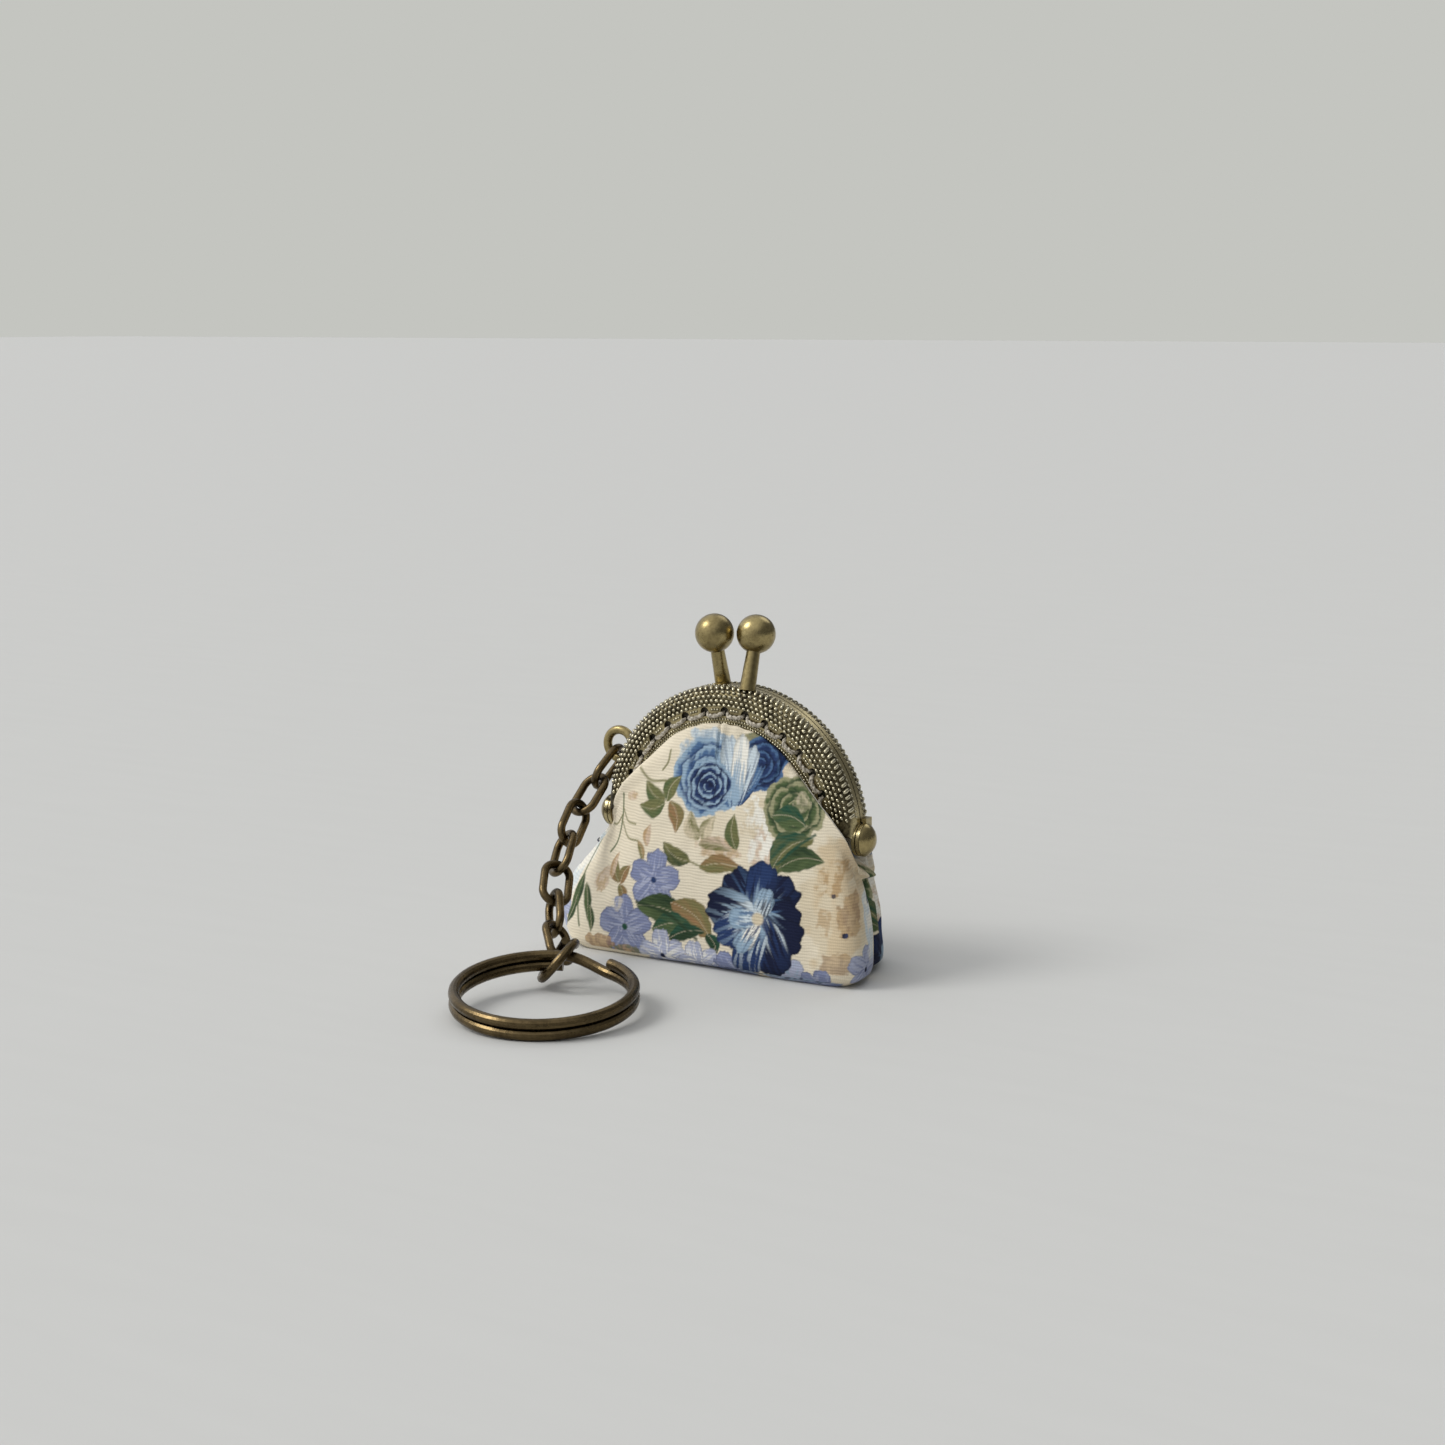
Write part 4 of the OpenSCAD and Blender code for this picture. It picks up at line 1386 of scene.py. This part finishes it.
@dataclass
class Beading:
    """The stamped beads and ribs that cover one half of the frame.

    Each row runs from the first angle above one hinge to the same angle above the other. On the front
    half the rows beyond the link row stop at the link angle, so that the chain's second link swings clear.
    """

    arch: Arch
    side: int
    first: float = 9.0
    rows: tuple[BeadRow, ...] = (
        BeadRow(0.34, 110, 0.40, 0.42, 0.26),
        BeadRow(0.80, 110, 0.40, 0.42, 0.24, offset=0.5),
        BeadRow(2.12, 120, 0.44, 0.42, 0.22, offset=0.5, between_holes=True),
        BeadRow(2.76, 70, 0.68, 0.54, 0.32),
        BeadRow(3.36, 70, 0.70, 0.56, 0.34, offset=0.5),
        BeadRow(3.98, 70, 0.70, 0.56, 0.34),
        BeadRow(4.60, 70, 0.70, 0.56, 0.32, offset=0.5),
        BeadRow(5.46, 70, 0.62, 1.20, 0.30, 22),
        BeadRow(6.30, 84, 0.42, 0.42, 0.16, offset=0.5),
    )
    segments: int = 10
    link_angle: float = 166.0
    link_row: float = 4.5
    hole_margin: float = 3.1

    def hole_gap(self, angle: float) -> float:
        """Returns how far an angle is from the nearest hole's middle, in degrees."""
        step = (180 - 2 * self.arch.hole_start) / (self.arch.hole_count - 1)
        turns = (angle - self.arch.hole_start) / step
        return abs(turns - round(turns)) * step

    def dome(self) -> tuple[Array, Array, list]:
        """Makes one bead of unit size.

        Returns:
            Its points, how far each stands out from 0 to 1, and its faces.
        """
        rings = ((1.0, -0.15), (0.94, 0.38), (0.66, 0.78), (0.3, 0.97))
        turn = np.arange(self.segments) * math.tau / self.segments
        points = [np.stack([r * np.cos(turn), r * np.sin(turn), np.full_like(turn, h)], 1) for r, h in rings]
        points.append(np.array([[0, 0, 1.0]]))
        stacked = np.vstack(points)
        faces = grid_faces(len(rings), self.segments, closed=True)
        last, top = (len(rings) - 1) * self.segments, len(stacked) - 1
        faces += [(last + k, last + (k + 1) % self.segments, top) for k in range(self.segments)]
        return stacked, smoothstep(0.1, 0.85, stacked[:, 2]), faces

    def build(self, name: str, body: str, material: bpy.types.Material) -> bpy.types.Object:
        """Makes all the beads of the half as one piece.

        Args:
            name: The piece's name.
            body: The body it rides on.
            material: Its finish.

        Returns:
            The piece.
        """
        dome, rise, dome_faces = self.dome()
        points, relief, faces = [], [], []
        for row in self.rows:
            r, depth, out_r, out_d = self.arch.profile(row.along)
            step = 180 / row.count
            for k in range(row.count + 1):
                angle = (k + row.offset) * step
                if not self.first <= angle <= 180 - self.first:
                    continue
                if row.between_holes and self.hole_gap(angle) < self.hole_margin:
                    continue
                if self.side < 0 and row.along > self.link_row and angle > self.link_angle:
                    continue
                jitter = 1 + 0.10 * (math.sin(k * 12.9898 + row.along * 78.233) % 1 - 0.5)
                turn = math.radians(angle)
                radial = np.array([math.cos(turn), 0, math.sin(turn)])
                tangent = np.array([-math.sin(turn), 0, math.cos(turn)])
                front = np.array([0.0, self.side, 0.0])
                normal = out_r * radial + out_d * front
                across = out_d * radial - out_r * front
                lean = math.radians(row.slant)
                long_way = math.cos(lean) * across + math.sin(lean) * tangent
                short_way = np.cross(normal, long_way)
                centre = np.array([0, 0, self.arch.hinge_z]) + r * radial + depth * front
                shape = (
                    dome[:, :1] * long_way * row.length / 2 * jitter
                    + dome[:, 1:2] * short_way * row.width / 2 * jitter
                    + dome[:, 2:] * normal * row.height
                )
                shift = len(points) * len(dome)
                points.append(centre + shape)
                relief.append(rise)
                faces += [tuple(i + shift for i in face) for face in dome_faces]
        piece = make_piece(name, np.vstack(points), faces, material)
        add_values(piece, "relief", np.concatenate(relief))
        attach(piece, body)
        return piece


def tube(path: Array, radius: float, sides: int, offset: int) -> tuple[Array, list]:
    """Sweeps a round tube along a path.

    Args:
        path: The path's points.
        radius: The tube's radius.
        sides: How many sides it has.
        offset: The number of its first point.

    Returns:
        Its points and faces.
    """
    along = np.gradient(path, axis=0)
    along /= np.linalg.norm(along, axis=1, keepdims=True)
    guide = np.array([0.31, 0.22, 0.92])
    first = np.cross(along, guide)
    first /= np.linalg.norm(first, axis=1, keepdims=True)
    second = np.cross(along, first)
    turn = np.arange(sides) * math.tau / sides
    rings = path[:, None] + radius * (
        np.cos(turn)[None, :, None] * first[:, None] + np.sin(turn)[None, :, None] * second[:, None]
    )
    faces = [tuple(i + offset for i in face) for face in grid_faces(len(path), sides, closed=True, flip=True)]
    last = offset + (len(path) - 1) * sides
    faces.append(tuple(offset + k for k in range(sides)))
    faces.append(tuple(last + k for k in reversed(range(sides))))
    return rings.reshape(-1, 3), faces


@dataclass
class Stitching:
    """Two-ply thread that sews the cloth through the holes of one half."""

    arch: Arch
    side: int
    ply_radius: float = 0.20
    twist_radius: float = 0.14
    twist_pitch: float = 1.5
    rings: int = 30
    sides: int = 8
    lean: float = 1.3

    def stitch_path(self, start: float, end: float) -> Array:
        """Follows one stitch out of a hole, over the bridge and into the next hole.

        Args:
            start: The first hole's angle.
            end: The next hole's angle.

        Returns:
            Points on the stitch's middle line.
        """
        share = np.array([0, 0.05, 0.16, 0.5, 0.84, 0.95, 1])
        depth = np.array([2.45, 2.95, 3.28, 3.42, 3.28, 2.95, 2.45])
        radius = self.arch.hole_r + np.array([-0.24, -0.36, -0.52, -0.60, -0.52, -0.34, -0.18])
        angle = start + self.lean + (end - start - 2 * self.lean) * share
        knots = self.arch.place(radius, angle, depth, self.side)
        return hermite(share, knots, np.linspace(0, 1, self.rings))

    def build(self, name: str, body: str, node: str, material: bpy.types.Material) -> bpy.types.Object:
        """Makes all the stitches of the half as one piece.

        Args:
            name: The piece's name.
            body: The body it rides on.
            node: The plain stitches that it stands for.
            material: Its finish.

        Returns:
            The piece.
        """
        step = (180 - 2 * self.arch.hole_start) / (self.arch.hole_count - 1)
        points: list[Array] = []
        faces: list = []
        offset = 0
        for number in range(self.arch.hole_count - 1):
            start = self.arch.hole_start + number * step
            middle = self.stitch_path(start, start + step)
            run = np.concatenate([[0], np.cumsum(np.linalg.norm(np.diff(middle, axis=0), axis=1))])
            along = np.gradient(middle, axis=0)
            along /= np.linalg.norm(along, axis=1, keepdims=True)
            first = np.cross(along, [0.1, 0.9, 0.3])
            first /= np.linalg.norm(first, axis=1, keepdims=True)
            second = np.cross(along, first)
            for ply in (0, math.pi):
                phase = (run / self.twist_pitch * math.tau + ply)[:, None]
                path = middle + self.twist_radius * (np.cos(phase) * first + np.sin(phase) * second)
                shape, quads = tube(path, self.ply_radius, self.sides, offset)
                points.append(shape)
                faces += quads
                offset += len(shape)
        piece = make_piece(name, np.vstack(points), faces, material)
        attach(piece, body)
        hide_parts(node)
        return piece


@dataclass
class Metalwork:
    """The frame, clasp, rivets, chain and rings, which keep their own shapes."""

    arch: Arch
    plain: tuple[str, ...] = (
        "left_rivet", "right_rivet", "front_clasp_stem", "back_clasp_stem",
        "front_clasp_ball", "back_clasp_ball", "chain_loop",
    )
    halves: tuple[str, ...] = ("front_frame", "back_frame")
    rings: tuple[str, ...] = ("jump_ring", "split_ring")
    link_count: int = 7

    def dress(
        self, polished: bpy.types.Material, recessed: bpy.types.Material, chain: bpy.types.Material
    ) -> None:
        """Gives every metal part its finish.

        Args:
            polished: Brass for the clasp, rivets and loop.
            recessed: Brass for the sheet under the beading, dark away from the edges that rub: partly oxide
                and partly painted shade.
            chain: Darker brass for the chain and rings.
        """
        links = tuple(f"chain_link_{k + 1}" for k in range(self.link_count))
        for names, finish in ((self.plain, polished), (self.halves, recessed), (links + self.rings, chain)):
            for name in names:
                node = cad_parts[name]
                node.data.materials.clear()
                node.data.materials.append(finish)
                node.data.shade_smooth()
                LOG.info("%s: %s", name, finish.name)


@dataclass
class Studio:
    """Pale floor that runs out to a pale horizon, soft lamps and the camera."""

    floor_colour: Colour = linear(200, 200, 197)
    horizon_colour: Colour = linear(196, 197, 192)
    camera_at: tuple[float, float, float] = (158.4, -277.9, 89.4)
    camera_way: tuple[float, float, float] = (-0.4926, 0.8531, -0.1719)
    lens: float = 57.55
    window_way: tuple[float, float, float] = (-0.62, -0.38, 0.69)

    def build(self) -> None:
        """Builds the floor, the world, the lamps and the camera."""
        self.build_floor()
        self.build_world()
        self.add_sun("key", (-420, -300, 520), 24, 1.25, (1.0, 0.99, 0.97))
        self.add_sun("rim", (60, 460, 420), 30, 0.25, (1.0, 1.0, 1.0))
        self.add_camera()

    def build_floor(self) -> None:
        """Builds a wide pale floor."""
        steps = np.linspace(-9000, 9000, 13)
        across, along = np.meshgrid(steps, steps)
        points = np.stack([across.ravel(), along.ravel(), np.zeros(across.size)], 1)
        faces = grid_faces(len(steps), len(steps))
        material, bench, shader = start_material("Pale board")
        boards = bench.stretch(bench.add("TexCoord").outputs["Object"], (1.0, 6.0, 1.0))
        grain = bench.cloud(boards, 40, 3)
        tone = tuple(0.965 * c for c in self.floor_colour)
        bench.join(bench.mix(grain, tone, self.floor_colour), shader.inputs["Base Color"])
        shader.inputs["Roughness"].default_value = 0.9
        make_piece("pale_floor", points, faces, material)

    def build_world(self) -> None:
        """Builds pale light from all round, strongest from the window's side."""
        world = bpy.data.worlds.new("Soft light")
        bpy.context.scene.world = world
        world.use_nodes = True
        bench = Bench(world.node_tree)
        background = world.node_tree.nodes["Background"]
        facing = bench.add("VectorMath", operation="DOT_PRODUCT")
        bench.join(bench.add("TexCoord").outputs["Generated"], facing.inputs[0])
        facing.inputs[1].default_value = self.window_way
        lit = bench.ramp(facing.outputs["Value"], -0.15, 0.95)
        sky = bench.mix(lit, (0.16, 0.163, 0.167), (1.08, 1.09, 1.11))
        seen = bench.add("LightPath").outputs["Is Camera Ray"]
        bench.join(bench.mix(seen, sky, self.horizon_colour), background.inputs["Color"])
        background.inputs["Strength"].default_value = 1.0

    def add_sun(
        self, name: str, at: tuple[float, float, float], spread: float, power: float, colour: Colour
    ) -> None:
        """Adds a soft lamp far away, so that the floor is lit evenly.

        Args:
            name: The lamp's name.
            at: Which way it stands, in millimetres from the purse.
            spread: How wide it looks, in degrees.
            power: Its strength.
            colour: Its colour.
        """
        light = bpy.data.lights.new(name, "SUN")
        light.angle, light.energy, light.color = math.radians(spread), power, colour
        lamp = bpy.data.objects.new(name, light)
        lamp.location = Vector(at) * MM
        lamp.rotation_euler = (-Vector(at)).to_track_quat("-Z", "Y").to_euler()
        bpy.context.scene.collection.objects.link(lamp)

    def add_camera(self) -> None:
        """Adds the camera."""
        camera = bpy.data.objects.new("camera", bpy.data.cameras.new("camera"))
        camera.data.sensor_width, camera.data.lens = 36, self.lens
        camera.data.clip_start = 0.01
        camera.location = Vector(self.camera_at) * MM
        camera.rotation_euler = Vector(self.camera_way).to_track_quat("-Z", "Y").to_euler()
        bpy.context.scene.collection.objects.link(camera)
        bpy.context.scene.camera = camera
        bpy.context.scene.view_settings.view_transform = "Standard"


POLISHED = BrassFinish(
    "Antique brass", linear(176, 160, 113), linear(80, 66, 39), wear=0.5, patch_scale=260, gloss=0.12
)
# Its dark colour, at the beads' bases, is partly oxide and partly painted shade.
BEADED = BrassFinish(
    "Beaded brass", linear(208, 200, 171), linear(36, 30, 21), Relief.BEADS,
    wear=0.40, patch_scale=420, gloss=0.14,
)
# Its dark colour, on the sheet under the beading, is partly oxide and partly painted shade.
STAMPED = BrassFinish(
    "Stamped brass", linear(196, 182, 138), linear(38, 32, 23), Relief.FRAME,
    wear=0.36, patch_scale=380, gloss=0.08,
)
CHAIN = BrassFinish(
    "Dark chain brass", linear(112, 96, 67), linear(38, 30, 20), wear=0.42, patch_scale=340, gloss=0.14
)
COTTON = ClothFinish("Printed cotton", Dye.CREAM.ink, printed=True)
LINING = ClothFinish("Plain lining", linear(226, 221, 208), strength=0.15)
THREAD = ThreadFinish("Grey-beige thread", linear(204, 196, 180), linear(138, 130, 114))


def main() -> None:
    """Builds the purse piece by piece and reports each one."""
    logging.basicConfig(level=logging.INFO, format="%(name)s: %(message)s")
    effects = Effects()
    arch = Arch(hinge_z=HINGE_Z / MM)
    LOG.info("hinge line at %.2f mm", arch.hinge_z)
    Metalwork(arch).dress(POLISHED.material(effects), STAMPED.material(effects), CHAIN.material(effects))
    Bag(arch).build(COTTON.material(effects), LINING.material(effects))
    beaded, thread = BEADED.material(effects), THREAD.material()
    for label, side in (("front", -1), ("back", 1)):
        Beading(arch, side).build(f"{label}_beading", f"{label}_half", beaded)
        Stitching(arch, side).build(f"{label}_thread", f"{label}_half", f"{label}_stitching", thread)
    Studio().build()


if __name__ == "__main__":
    main()
